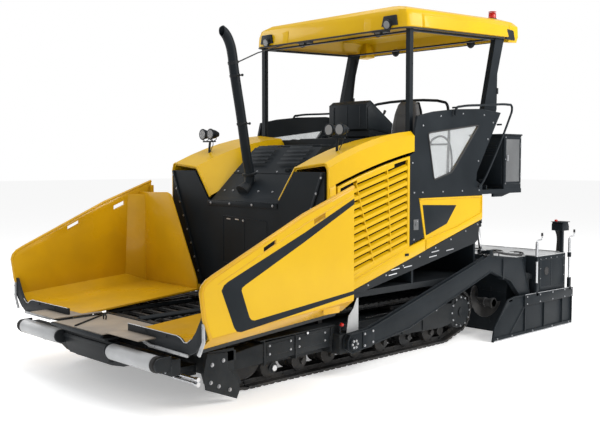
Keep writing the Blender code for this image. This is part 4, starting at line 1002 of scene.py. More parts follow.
def makeRoof():
    shell = skin("roof_shell", [roofRing(0.012, 0.012, -0.001), roofRing(0.0, 0.0, 0.012),
                roofRing(0.006, 0.01, 0.12),
                roofRing(0.035, 0.035, 0.195), roofRing(0.16, 0.12, roof["depth"] - 0.006),
                roofRing(0.30, 0.26, roof["depth"])])
    hollow = skin("hollow", [roofRing(0.035, 0.035, -0.05), roofRing(0.035, 0.035, 0.03),
                roofRing(0.10, 0.10, 0.15),
                roofRing(0.30, 0.28, 0.20)])
    carve(shell, hollow)
    parts = [shell]
    for side in (1, -1):
        bulge = []
        for s, out, top in ((2.235, 0.0, 0.18), (2.26, 0.022, 0.185), (3.80, 0.022, 0.19), (3.90, 0.004, 0.185)):
            x = roof["half"]
            bulge.append([(side * (x - 0.02), s, roofAt(s) + 0.004), (side * (x + out), s, roofAt(s) + 0.010),
                        (side * (x + out - 0.012), s, roofAt(s) + top * 0.72),
                        (side * (x - 0.055), s, roofAt(s) + top + 0.012)])
        parts.append(skin("bulge", bulge))
        x0, x1 = 0.60, 1.125
        pod = []
        for x, lean in ((side * x0, 0.0), (side * x1, 0.03)):
            pod.append([(x, 1.984 + lean, roofAt(1.99) + 0.004), (x, 1.990 + lean, roofAt(1.99) + 0.13),
                        (x, 2.03 + lean, roofAt(1.99) + 0.215), (x, 2.10, roofAt(1.99) + 0.20),
                        (x, 2.10, roofAt(1.99) + 0.02)])
        parts.append(skin("pod", pod))
        rear = []
        for s in (3.86, 4.035):
            rear.append([(side * (1.19), s, roofAt(s) - 0.045), (side * 1.212, s, roofAt(s) + 0.02),
                        (side * 1.205, s, roofAt(s) + 0.14), (side * 1.12, s, roofAt(s) + 0.205),
                        (side * 1.05, s, roofAt(s) + 0.20), (side * 1.05, s, roofAt(s) - 0.03)])
        parts.append(skin("rearPod", rear))
        rib = []
        for s in (2.35, 3.75):
            crown = roofAt(s) + roof["depth"]
            rib.append([(side * 0.30, s, crown - 0.004), (side * 0.33, s, crown + 0.012),
                        (side * 0.40, s, crown + 0.012), (side * 0.43, s, crown - 0.004)])
        parts.append(skin("rib", rib))
    fit(soften(join("roof_shell", *parts), 0.006, 3), "tractor", yellowPaint, ["roof"])
    ribs = [block("rib", (-1.08, s - 0.02, roofAt(s) + 0.145), (1.08, s + 0.02, roofAt(s) + 0.175))
            for s in (2.45, 2.95, 3.45)]
    fit(soften(join("roof_liner_ribs", *ribs)), "tractor", yellowPaint)

    seal = [(x, s, z - 0.003) for x, s, z in roofRing(0.006, 0.006, 0.0)]
    fit(tube("roof_seal", seal + seal[:1], 0.010, 8, smooth=False), "tractor", blackRubber)
    recesses, lamps, lenses = [], [], []
    for side in (1, -1):
        recess = plate("recess", [(side * 0.86, roofAt(1.99) + 0.03), (side * 1.075, roofAt(1.99) + 0.03),
                    (side * 1.055, roofAt(1.99) + 0.135), (side * 0.89, roofAt(1.99) + 0.135)], 'y', 1.972, 1.998)
        recesses.append(recess)
        recesses.append(plate("rearRecess", [(3.78, roofAt(3.9) - 0.02), (3.965, roofAt(3.9) - 0.02),
                        (3.93, roofAt(3.9) + 0.09),
                        (3.80, roofAt(3.9) + 0.10)], 'x', side * 1.200, side * 1.2165))
        for x, s, z, way in ((0.955, 1.975, roofAt(1.99) + 0.045, -1), (0.60, 2.24, roofAt(2.2) + 0.02, -1),
                (0.60, 3.93, roofAt(3.9), 1)):
            lamps.append(rod("lamp", (side * x, s, z), (side * x, s + way * 0.030, z - 0.006), 0.048, 24, 0.052))
            lamps.append(rod("back", (side * x, s - way * 0.03, z + 0.008), (side * x, s, z), 0.030, 20, 0.046))
            lenses.append(rod("lens", (side * x, s + way * 0.0285, z - 0.006),
                        (side * x, s + way * 0.034, z - 0.007), 0.043, 24, 0.036))
        recesses.append(block("box", (side * 0.60 - 0.09, 2.20, roofAt(2.2) + 0.02),
                    (side * 0.60 + 0.09, 2.32, roofAt(2.2) + 0.10)))
    fit(soften(join("roof_lamp_boxes", *recesses, *lamps), 0.003), "tractor", frameBlack)
    fit(join("roof_lenses", *lenses), "tractor", lampGlass)
    stay = tube("exhaust_stay", [(-0.055, 0.765, 3.10), (-0.35, 1.30, 3.27), (-0.66, 1.985, 3.452)], 0.007, 8,
            smooth=False)
    grip = rod("grip", (-0.10, 0.750, 3.085), (-0.10, 0.744, 3.115), 0.0585, 24)
    fit(join("exhaust_stay", stay, grip), "tractor", frameBlack)

    x, s = 0.95, 3.88
    foot = roofAt(s) + roof["depth"] - 0.030
    base = rod("beacon_base", (x, s, foot), (x, s, foot + 0.045), 0.060, 24, 0.052)
    fit(soften(base, 0.003), "tractor", blackRubber)
    dome = rod("beacon_dome", (x, s, foot + 0.043), (x, s, 3.832), 0.046, 28, 0.041)
    crown = rod("crown", (x, s, 3.831), (x, s, 3.849), 0.0405, 28, 0.026)
    bands = [rod("band", (x, s, foot + 0.055 + 0.016 * k), (x, s, foot + 0.061 + 0.016 * k), 0.0468, 28)
            for k in range(5)]
    fit(soften(join("beacon_dome", dome, crown, *bands), 0.002), "tractor", redLens, ["beacon"])


makeRoof()
print("roof made")


# work lamps on the shoulders
def makeLamps():
    x, station, height = 1.02, 1.14, 2.386
    foot = 2.145
    mast = tube("mast", [(x, station, foot), (x, station, 2.22), (x, station + 0.01, 2.30)], 0.014, 10)
    base = block("base", (x - 0.05, station - 0.05, foot - 0.003), (x + 0.05, station + 0.05, foot + 0.008))
    bar = block("bar", (x - 0.11, station - 0.012, 2.296), (x + 0.11, station + 0.012, 2.312))
    parts, lenses = [], []
    for offset in (-0.072, 0.072):
        c = x + offset
        parts.append(rod("head", (c, station - 0.035, height), (c, station + 0.03, height), 0.060, 28, 0.046))
        parts.append(rod("brim", (c, station - 0.045, height), (c, station - 0.032, height), 0.064, 28))
        for k in range(4):
            parts.append(rod("fin", (c, station + 0.028 + 0.012 * k, height),
                        (c, station + 0.034 + 0.012 * k, height),
                        0.044 - 0.005 * k, 20))
        parts.append(rod("core", (c, station + 0.02, height), (c, station + 0.07, height), 0.020, 12))
        parts.append(tube("yoke", [(c - 0.055, station, height), (c - 0.055, station, 2.325), (c, station, 2.305),
                        (c + 0.055, station, 2.325), (c + 0.055, station, height)], 0.006, 6, smooth=False))
        lenses.append(rod("lens", (c, station - 0.0465, height), (c, station - 0.040, height), 0.048, 28, 0.055))
    spring = tube("cable", [(x + 0.03, station + 0.05, 2.36), (x + 0.02, station + 0.07, 2.28),
                (x + 0.01, station + 0.03, 2.20),
                (x, station + 0.03, 2.15)], 0.005, 6)
    fitPair(soften(join("work_lamp_heads", mast, base, bar, spring, *parts), 0.002), "tractor", blackPaint,
            ["work_lamps_{}"])
    fitPair(join("work_lamp_lenses", *lenses), "tractor", lampGlass)


makeLamps()
print("work lamps made")


# tracks
track = {"inner": 0.685, "outer": 0.995, "belt": 0.07, "shoes": 50,
        "wheels": ((0.0, 0.30, 0.30), (2.95, 0.12, 0.12), (3.19, 0.34, 0.26))}


def beltLine():
    # (station, z) along the outside of the track: a band pulled round its three wheels
    points = []
    for station, height, radius in track["wheels"]:
        for k in range(96):
            angle = math.tau * k / 96
            points.append(Vector((station + radius * math.cos(angle), height + radius * math.sin(angle))))
    hull = [p for p in points if all((p - Vector((s, h))).length >= r - 1e-4 for s, h, r in track["wheels"])]
    rings = []
    for k in range(720):
        angle = math.tau * k / 720
        way = Vector((math.cos(angle), math.sin(angle)))
        rings.append(max(hull, key=lambda p: p.dot(way)))
    line = []
    for point in rings:
        if not line or (point - line[-1]).length > 1e-5:
            line.append(point)
    return line


def walkBelt(line, distance):
    left = distance
    for start, end in zip(line, line[1:] + line[:1]):
        length = (end - start).length
        if left <= length:
            way = (end - start) / max(length, 1e-9)
            return start + way * left, way
        left -= length
    return line[0], (line[1] - line[0]).normalized()


def makeTracks():
    line = beltLine()
    total = sum((b - a).length for a, b in zip(line, line[1:] + line[:1]))
    pitch = total / track["shoes"]
    half = pitch / 2 - 0.004
    inner, outer = track["inner"], track["outer"]
    profile = [(-half, -0.026), (half, -0.026), (half, -0.012), (half - 0.010, -0.010), (half - 0.016, 0.0),
            (0.014, 0.0), (0.008, -0.009), (-0.008, -0.009), (-0.014, 0.0), (-half + 0.016, 0.0),
            (-half + 0.010, -0.010), (-half, -0.012)]
    shoe = plate("shoe", profile, 'x', inner, outer)
    links = []
    for x in (0.765, 0.885):
        ends = arcPoints((half * 0.9, -0.048), 0.021, 90, -90, 5) + arcPoints((-half * 0.9, -0.048), 0.021, 270, 90,
                5)
        links.append(plate("link", ends, 'x', x, x + 0.026))
    studs = [rod("stud", (x, s, -0.001), (x, s, 0.004), 0.009, 6) for x in (0.72, 0.96)
            for s in (-half * 0.45, half * 0.45)]
    for stud in studs:
        stud.data.transform(Matrix.Translation((0, 0, -0.011)))
    one = join("shoe", shoe, *links, *studs)
    one.data.transform(Matrix.Translation((0, middle, 0)))
    whole = []
    for k in range(track["shoes"]):
        spot, way = walkBelt(line, (k + 0.5) * pitch)
        # way runs anticlockwise in (station, z), so the outside lies to its right
        out = Vector((way.y, -way.x))
        turn = Matrix(((1, 0, 0, 0), (0, way.x, out.x, spot.x - middle), (0, way.y, out.y, spot.y), (0, 0, 0, 1)))
        whole.append(copied(one, turn))
    bpy.data.objects.remove(one)
    belt = join("track_shoes", *whole)
    only(belt)
    bpy.ops.object.mode_set(mode='EDIT')
    bpy.ops.mesh.select_all(action='SELECT')
    bpy.ops.mesh.normals_make_consistent(inside=False)
    bpy.ops.object.mode_set(mode='OBJECT')
    fitPair(belt, "tractor", trackSteel, ["track_{}"])


def wheelProfile(name, x, station, height, steps, sides):
    # steps are (offset in x, radius) along the axle, drawn as stacked drums
    parts = []
    for (x0, r0), (x1, r1) in zip(steps, steps[1:]):
        if abs(x1 - x0) > 1e-4:
            parts.append(rod(name, (x + x0, station, height), (x + x1, station, height), r0, sides, r1))
    return parts


def makeUndercarriage():
    parts = []
    for i in range(7):
        s, z = 0.30 + 0.40 * i, 0.07 + 0.085
        parts += wheelProfile("roller", 0.70, s, z, [(0.0, 0.05), (0.03, 0.098), (0.045, 0.098), (0.050, 0.084),
                    (0.105, 0.084), (0.110, 0.060), (0.165, 0.060), (0.170, 0.084),
                    (0.225, 0.084), (0.230, 0.098), (0.245, 0.098), (0.27, 0.05)], 20)
        parts.append(rod("cap", (0.955, s, z), (1.010, s, z), 0.030, 16))
    parts += wheelProfile("idler", 0.72, 0.0, 0.30, [(0.0, 0.10), (0.02, 0.215), (0.06, 0.225), (0.07, 0.205),
                (0.17, 0.205), (0.18, 0.225), (0.22, 0.215), (0.24, 0.10)], 40)
    teeth = []
    for k in range(26):
        a0 = math.tau * k / 26
        for angle, radius in ((a0, 0.186), (a0 + 0.075, 0.205), (a0 + 0.15, 0.205), (a0 + 0.20, 0.186)):
            teeth.append((3.19 + radius * math.cos(angle), 0.34 + radius * math.sin(angle)))
    parts.append(plate("sprocket", teeth, 'x', 0.80, 0.87))
    parts.append(rod("hub", (0.72, 3.19, 0.34), (0.96, 3.19, 0.34), 0.15, 32, 0.13))
    parts.append(rod("tensioner", (0.74, 2.95, 0.132), (0.93, 2.95, 0.132), 0.055, 20))
    for s in (1.0, 2.1):
        parts.append(rod("carrier", (0.74, s, 0.490), (0.93, s, 0.490), 0.028, 18))
    wheels = soften(join("track_wheels", *parts), 0.002, 1)
    fitPair(wheels, "tractor", trackSteel, ["track_frame_{}"])

    frameParts = [plate("beam", [(-0.08, 0.25), (0.05, 0.21), (3.00, 0.21), (3.05, 0.30), (3.0, 0.44),
                    (-0.05, 0.44)], 'x', 0.662, 1.012),
            plate("front", [(-0.30, 0.255), (0.96, 0.29), (0.98, 0.46), (0.90, 0.475), (0.16, 0.452), (-0.06, 0.43),
                    (-0.30, 0.40)],
                'x', 1.005, 1.148),
            plate("mid", [(0.96, 0.23), (1.96, 0.23), (1.96, 0.46), (0.96, 0.46)], 'x', 1.005, 1.08),
            plate("rear", [(1.93, 0.24), (2.75, 0.22), (3.02, 0.26), (3.02, 0.46), (2.70, 0.49), (1.93, 0.455)],
                'x', 1.005, 1.10),
            plate("shelf", [(0.02, 0.462), (0.98, 0.482), (0.98, 0.494), (0.02, 0.474)], 'x', 1.0, 1.155),
            plate("panel", [(0.10, 0.315), (0.42, 0.325), (0.42, 0.435), (0.10, 0.425)], 'x', 1.146, 1.156),
            plate("panel", [(0.46, 0.325), (0.88, 0.338), (0.88, 0.450), (0.46, 0.438)], 'x', 1.146, 1.156),
            plate("idlerYoke", [(-0.02, 0.25), (0.30, 0.25), (0.30, 0.35), (-0.02, 0.35)], 'x', 0.99, 1.02)]
    for s in (0.06, 0.45, 0.92, 2.05, 2.40):
        frameParts.append(plate("rib", [(s, 0.24), (s + 0.014, 0.24), (s + 0.014, 0.47), (s, 0.47)], 'x', 1.02,
                    1.160 if s < 1 else 1.115))
    pivot = plate("pivot", [(0.95, 0.215), (1.42, 0.225), (1.46, 0.33), (1.42, 0.405), (0.95, 0.405)], 'x', 1.01,
            1.248)
    frameParts.append(pivot)
    cover = rod("cover", (1.000, 3.10, 0.36), (1.085, 3.10, 0.36), 0.195, 48, 0.185)
    lid = rod("lid", (1.084, 3.10, 0.36), (1.103, 3.10, 0.36), 0.150, 40, 0.140)
    boss = rod("boss", (1.102, 3.10, 0.36), (1.118, 3.10, 0.36), 0.05, 24)
    eyeCover = rod("eyeCover", (1.145, 0.17, 0.205), (1.162, 0.17, 0.205), 0.05, 24)
    pipes = [tube("pipe", [(1.03, 1.98, z), (1.10, 2.10, z + 0.02), (1.11, 2.45, z + 0.03), (1.08, 2.72, z - 0.02),
                    (1.03, 2.90, z - 0.02)],
                0.012, 8) for z in (0.50, 0.53)]
    frameBody = soften(join("track_frame_body", *frameParts, cover, lid, boss, eyeCover), 0.004)
    fitPair(join("track_frame_body", frameBody, *pipes), "tractor", frameBlack)

    spots = [(1.156, s, z) for s, z in ((0.13, 0.335), (0.13, 0.41), (0.39, 0.342), (0.39, 0.42), (0.50, 0.35),
                (0.84, 0.36),
                (0.50, 0.425), (0.84, 0.435))]
    spots += [(1.104, 3.10 + 0.165 * math.cos(a), 0.36 + 0.165 * math.sin(a)) for a in angles(12, False)]
    spots += [(1.10, s, 0.43) for s in (2.15, 2.3, 2.5, 2.65)]
    fitPair(bolts("track_frame_bolts", spots, (1, 0, 0), 0.008), "tractor", zincBolt)
    big = [rod("bolt", (1.161, 0.17, 0.205), (1.180, 0.17, 0.205), 0.028, 8),
           rod("strip", (1.161, 0.60, 0.465), (1.168, 0.60, 0.465), 0.012, 12),
           plate("strip", [(1.427, 0.496), (1.878, 0.513), (1.878, 0.524), (1.427, 0.508)], 'x', 1.15, 1.16)]
    fitPair(join("idler_bolt", *big), "tractor", brightSteel)

    guards = []
    guards.append(plate("guard", [(-0.655, 0.30), (-0.639, 0.155), (-0.30, 0.02), (-0.262, 0.10), (-0.30, 0.20),
                    (-0.40, 0.30),
                    (-0.40, 0.44), (-0.62, 0.46)], 'x', 1.198, 1.212))
    guards.append(plate("second", [(-0.36, 0.20), (-0.23, 0.08), (-0.17, 0.12), (-0.25, 0.30), (-0.30, 0.44),
                    (-0.38, 0.44)],
                'x', 1.10, 1.115))
    guards.append(block("bar", (1.10, -0.40, 0.36), (1.20, -0.30, 0.45)))
    guardBody = soften(join("front_guard", *guards), 0.003)
    fitPair(guardBody, "tractor", frameBlack)
    fitPair(bolts("guard_bolts", [(1.212, -0.585, 0.21), (1.212, -0.50, 0.165), (1.212, -0.38, 0.115),
                    (1.212, -0.57, 0.36),
                    (1.212, -0.45, 0.38)], (1, 0, 0), 0.013), "tractor", zincBolt)

    scale = plate("scale_plate", [(1.076, 0.403), (1.248, 0.409), (1.246, 0.735), (1.222, 0.735), (1.175, 0.64),
                (1.105, 0.57)], 'x',
            1.2125, 1.217)
    fitPair(soften(scale, 0.002), "tractor", whiteCoat)
    knob = rod("scale_knob", (1.217, 1.00, 0.50), (1.240, 1.00, 0.50), 0.019, 16, 0.016)
    post = rod("scale_post", (1.20, 1.00, 0.40), (1.20, 1.00, 0.52), 0.010, 10)
    fitPair(soften(knob, 0.003), "tractor", redLens)
    fitPair(post, "tractor", frameBlack)


makeTracks()
makeUndercarriage()
print("tracks and undercarriage made")


# seats
def swell(piece, cap):
    # foam under its cover: pressure puffs the cover out, and no point moves further than cap
    before = [v.co.copy() for v in piece.data.vertices]
    cloth = piece.modifiers.new("cloth", 'CLOTH')
    cloth.settings.use_pressure = True
    cloth.settings.uniform_pressure_force = 4
    cloth.settings.effector_weights.gravity = 0
    for frameNumber in range(1, 21):
        bpy.context.scene.frame_set(frameNumber)
    shaped = piece.evaluated_get(bpy.context.evaluated_depsgraph_get())
    after = [v.co.copy() for v in shaped.data.vertices]
    piece.modifiers.remove(cloth)
    bpy.context.scene.frame_set(1)
    for vertex, old, new in zip(piece.data.vertices, before, after):
        move = new - old
        vertex.co = old + move * min(1.0, cap / max(move.length, 1e-6))


def pad(name, rings, cap, voxel=0.014):
    piece = skin(name, rings)
    only(piece)
    remesh = piece.modifiers.new("even", 'REMESH')
    remesh.mode = 'VOXEL'
    remesh.voxel_size = voxel
    bpy.ops.object.modifier_apply(modifier="even")
    smooth = piece.modifiers.new("round", 'SMOOTH')
    smooth.iterations = 6
    bpy.ops.object.modifier_apply(modifier="round")
    swell(piece, cap)
    fine = piece.modifiers.new("fine", 'SUBSURF')
    fine.levels = fine.render_levels = 1
    bpy.ops.object.modifier_apply(modifier="fine")
    bpy.ops.object.shade_smooth()
    return piece


def welt(name, piece, points, radius=0.0028):
    # a sewn edge laid on the pad's surface
    laid = []
    for point in points:
        found, where, normal, face = piece.closest_point_on_mesh(at(*point))
        spot = where + normal * 0.0005
        laid.append((spot.x, spot.y + middle, spot.z))
    return tube(name, laid, radius, 6)


def seatRing(x, half, front, rear, z, corner=0.03):
    plan = [(-half + corner, front), (half - corner, front), (half, front + corner), (half, rear - corner),
            (half - corner, rear), (-half + corner, rear), (-half, rear - corner), (-half, front + corner)]
    return [(x + a, s, z) for a, s in plan]


def makeSeats():
    for side, x in (("left", 0.42), ("right", -0.42)):
        body = "seat_" + side
        cushion = pad("seat_cushion_" + side, [
            seatRing(x, 0.200, 2.445, 2.895, 2.102), seatRing(x, 0.226, 2.425, 2.905, 2.125),
            seatRing(x, 0.228, 2.430, 2.905, 2.175), seatRing(x, 0.205, 2.455, 2.895, 2.203, 0.05)], 0.012)
        seams = []
        for shift in (-0.115, 0.115):
            seams.append(welt("seam", cushion, [(x + shift, 2.44 + 0.02 * k, 2.24) for k in range(22)]))
        for s in (2.56, 2.72):
            seams.append(welt("seam", cushion, [(x - 0.11 + 0.02 * k, s, 2.24) for k in range(12)]))
        edge = [(x + 0.25 * math.cos(a), 2.665 + 0.26 * math.sin(a), 2.135) for a in angles(60)]
        seams.append(welt("seam", cushion, edge, 0.0035))
        fit(cushion, body, seatCloth, ["seat_cushion_" + side])
        fit(join("seat_cushion_seams_" + side, *seams), body, mouldedGrey)

        back = pad("seat_back_" + side, [
            seatRing(x, 0.180, 2.862, 2.945, 2.242, 0.02), seatRing(x, 0.198, 2.862, 2.965, 2.32, 0.02),
            seatRing(x, 0.200, 2.880, 2.985, 2.50, 0.02), seatRing(x, 0.180, 2.905, 3.000, 2.64, 0.02),
            seatRing(x, 0.140, 2.925, 3.012, 2.75, 0.02), seatRing(x, 0.105, 2.942, 3.010, 2.785, 0.02)], 0.010)
        seams = [welt("seam", back, [(x + shift, 2.84 + 0.14 * (k / 24), 2.26 + 0.50 * k / 24) for k in range(25)])
                for shift in (-0.10, 0.10)]
        for z in (2.40, 2.62):
            seams.append(welt("seam", back, [(x - 0.10 + 0.02 * k, 2.84, z) for k in range(11)]))
        fit(back, body, seatCloth, ["seat_back_" + side])
        fit(join("seat_back_seams_" + side, *seams), body, mouldedGrey)

        shell = skin("pan", [seatRing(x, 0.19, 2.47, 2.93, 2.092), seatRing(x, 0.215, 2.44, 2.95, 2.099)])
        rear = skin("rearShell", [[(x - half, s, z), (x + half, s, z), (x + half - 0.01, s + 0.022, z),
                        (x - half + 0.01, s + 0.022, z)]
                    for half, s, z in ((0.17, 2.965, 2.15), (0.19, 2.978, 2.33), (0.19, 3.00, 2.50),
                        (0.165, 3.014, 2.66),
                        (0.12, 3.022, 2.77))])
        parts = [shell, rear]
        for shift in (-1, 1):
            arm = x + shift * 0.265
            parts.append(block("arm", (arm - 0.028, 2.665, 2.365), (arm + 0.028, 2.93, 2.400)))
            parts.append(block("stay", (arm - 0.010, 2.84, 2.12), (arm + 0.010, 2.90, 2.372)))
            parts.append(block("foot", (min(arm, x), 2.855, 2.115), (max(arm, x), 2.885, 2.135)))
        fit(soften(join("seat_frame_" + side, *parts), 0.008, 3), body, blackPaint)
        belt = tube("belt", [(x - 0.235, 2.86, 2.14), (x - 0.245, 2.84, 2.20), (x - 0.20, 2.835, 2.225)], 0.010, 6)
        buckle = block("buckle", (x + 0.222, 2.80, 2.15), (x + 0.250, 2.84, 2.235))
        fit(join("seat_belt_" + side, belt, soften(buckle, 0.004)), body, blackRubber)
        bellows = [skin("bellows", [seatRing(x, 0.150, 2.545, 2.815, 1.90 + 0.02 * k),
                        seatRing(x, 0.163, 2.532, 2.828, 1.91 + 0.02 * k),
                        seatRing(x, 0.150, 2.545, 2.815, 1.92 + 0.02 * k)]) for k in range(8)]
        rails = [block("rail", (x + shift - 0.02, 2.50, 2.060), (x + shift + 0.02, 2.88, 2.082))
                for shift in (-0.12, 0.12)]
        fit(join("seat_bellows_" + side, *bellows, soften(join("rails", *rails))), "tractor", blackRubber)


makeSeats()
print("seats made")


# operator's console
def makeConsole():
    front = 2.074
    body = plate("body", [(front, 2.350), (2.458, 2.350), (2.478, 2.50), (2.10, 2.742), (2.034, 2.70),
                (2.034, 2.43),
                (front, 2.41)], 'x', 0.034, 0.596)
    visor = plate("visor", [(2.034, 2.695), (2.10, 2.742), (2.19, 2.685), (2.185, 2.675), (2.10, 2.722),
                (2.045, 2.688)], 'x', 0.03, 0.60)
    ribs = [plate("rib", [(2.030, 2.45), (2.036, 2.45), (2.036, 2.68), (2.030, 2.68)], 'x', x, x + 0.02)
            for x in (0.10, 0.30, 0.50)]
    cheeks = [plate("cheek", [(2.06, 2.43), (2.42, 2.39), (2.44, 2.49), (2.10, 2.70), (2.05, 2.66)], 'x', x0, x1)
            for x0, x1 in ((0.024, 0.036), (0.594, 0.606))]
    shell = soften(join("console_shell", body, visor, *ribs, *cheeks), 0.008, 3)
    fit(shell, "console", blackPaint, ["console"])

    def onDesk(x, share, lift):
        # a point over the sloping desk: share runs from its front edge (0) to the driver's edge (1)
        s, z = 2.10 + 0.378 * share, 2.742 - 0.242 * share
        return (x, s + lift * 0.54, z + lift * 0.84)

    def tile(name, x0, x1, low, high, depth):
        ring = [onDesk(x0, low, -0.002), onDesk(x1, low, -0.002), onDesk(x1, high, -0.002),
                onDesk(x0, high, -0.002)]
        top = [onDesk(x0 + 0.004, low + 0.01, depth), onDesk(x1 - 0.004, low + 0.01, depth),
               onDesk(x1 - 0.004, high - 0.01, depth), onDesk(x0 + 0.004, high - 0.01, depth)]
        return skin(name, [ring, top])

    fit(tile("console_desk", 0.06, 0.57, 0.18, 0.95, 0.004), "console", mouldedGrey)
    fit(soften(tile("console_screen", 0.24, 0.40, 0.22, 0.52, 0.012), 0.002), "console", lampGlass)
    keys = []
    for bank in range(4):
        for k in range(5):
            keys.append(tile("key", 0.085 + 0.028 * k, 0.106 + 0.028 * k, 0.26 + 0.10 * bank, 0.33 + 0.10 * bank,
                        0.010))
            keys.append(tile("key", 0.425 + 0.028 * k, 0.446 + 0.028 * k, 0.26 + 0.10 * bank, 0.33 + 0.10 * bank,
                        0.010))
    fit(soften(join("console_keys", *keys), 0.001, 1), "console", whiteCoat)
    knobs = []
    for x, share in ((0.30, 0.66), (0.36, 0.66), (0.28, 0.84), (0.38, 0.84)):
        knobs.append(rod("dial", onDesk(x, share, 0.0), onDesk(x, share, 0.024), 0.014, 18, 0.012))
    for x in (0.13, 0.50):
        knobs.append(rod("stick", onDesk(x, 0.82, 0.0), onDesk(x, 0.80, 0.085), 0.006, 10))
        knobs.append(rod("grip", onDesk(x, 0.80, 0.07), onDesk(x, 0.79, 0.115), 0.013, 16, 0.016))
        knobs.append(rod("boot", onDesk(x, 0.82, 0.0), onDesk(x, 0.81, 0.03), 0.028, 16, 0.010))
    wheel = tube("wheel", [onDesk(0.32 + 0.06 * math.cos(a), 0.70 + 0.12 * math.sin(a), 0.060) for a in angles(24)],
            0.006, 8)
    fit(join("console_controls", soften(join("knobs", *knobs), 0.002), wheel), "console", blackRubber)
    stop = rod("console_stop", onDesk(0.54, 0.20, 0.0), onDesk(0.54, 0.20, 0.030), 0.017, 20, 0.020)
    fit(soften(stop, 0.003), "console", redLens)
    rail = [block("slide", (-0.62, 2.20, 2.333), (1.05, 2.235, 2.346)),
            block("slide", (-0.62, 2.40, 2.333), (1.05, 2.435, 2.346))]
    legs = [block("leg", (x - 0.02, 2.085, 2.30), (x + 0.02, 2.44, 2.334)) for x in (-0.58, 0.2, 0.98)]
    fit(soften(join("console_rails", *rail, *legs), 0.002), "tractor", frameBlack)


makeConsole()
print("console made")


# operator's platform, cabinets and canopy posts
def makePlatform():
    stud = rod("stud", (-1.10, 2.22, 1.7498), (-1.10, 2.22, 1.7535), 0.009, 8, 0.006)
    line = row("line", stud, 34, (0.0655, 0, 0))
    tread = row("platform_tread", line, 20, (0, 0.058, 0))
    fit(tread, "tractor", frameBlack)

    skins = []
    for x in (-0.80, 0.0, 0.80):
        skins.append(block("skin", (x - 0.34, 2.088, 1.80), (x + 0.34, 2.094, 2.27)))
        skins.append(block("skin", (x - 0.32, 3.198, 1.05), (x + 0.32, 3.206, 1.66)))
        for k in range(6):
            skins.append(block("louvre", (x - 0.22, 3.204, 1.16 + 0.07 * k), (x + 0.22, 3.220, 1.175 + 0.07 * k)))
    kick = [block("kick", (-1.20, 3.435, 1.75), (-0.66, 3.45, 1.80)),
            block("kick", (0.66, 3.435, 1.75), (1.20, 3.45, 1.80)),
            block("kick", (-0.66, 3.435, 1.70), (0.66, 3.452, 1.755))]
    fit(soften(join("platform_skins", *skins, *kick), 0.004), "tractor", blackPaint)
    spots = [(x + dx, 3.207, z) for x in (-0.80, 0.0, 0.80) for dx in (-0.30, 0.30) for z in (1.08, 1.36, 1.63)]
    fit(bolts("platform_bolts", spots, (0, 1, 0), 0.008), "tractor", zincBolt)

    rails = [tube("gate", [(0.64, 3.44, 1.76), (0.64, 3.44, 2.72), (0.60, 3.44, 2.78), (-0.60, 3.44, 2.78),
                    (-0.64, 3.44, 2.72),
                    (-0.64, 3.44, 1.76)], 0.017, 12),
            tube("gateMid", [(0.64, 3.44, 2.28), (-0.64, 3.44, 2.28)], 0.013, 10, smooth=False)]
    fit(join("rear_gate_rail", *rails), "tractor", blackPaint)
    steps = []
    for side in (1, -1):
        for k, z in enumerate((0.98, 1.28, 1.55)):
            s = 3.36 - 0.05 * k
            steps.append(block("tread", (side * 0.42 - 0.17, 3.215, z), (side * 0.42 + 0.17, s, z + 0.02)))
        for dx in (-0.18, 0.18):
            steps.append(plate("stringer", [(3.205, 0.95), (3.36, 0.95), (3.26, 1.60), (3.205, 1.60)], 'x',
                        side * 0.42 + dx - 0.006, side * 0.42 + dx + 0.006))
    fit(soften(join("rear_ladders", *steps), 0.003), "tractor", frameBlack)


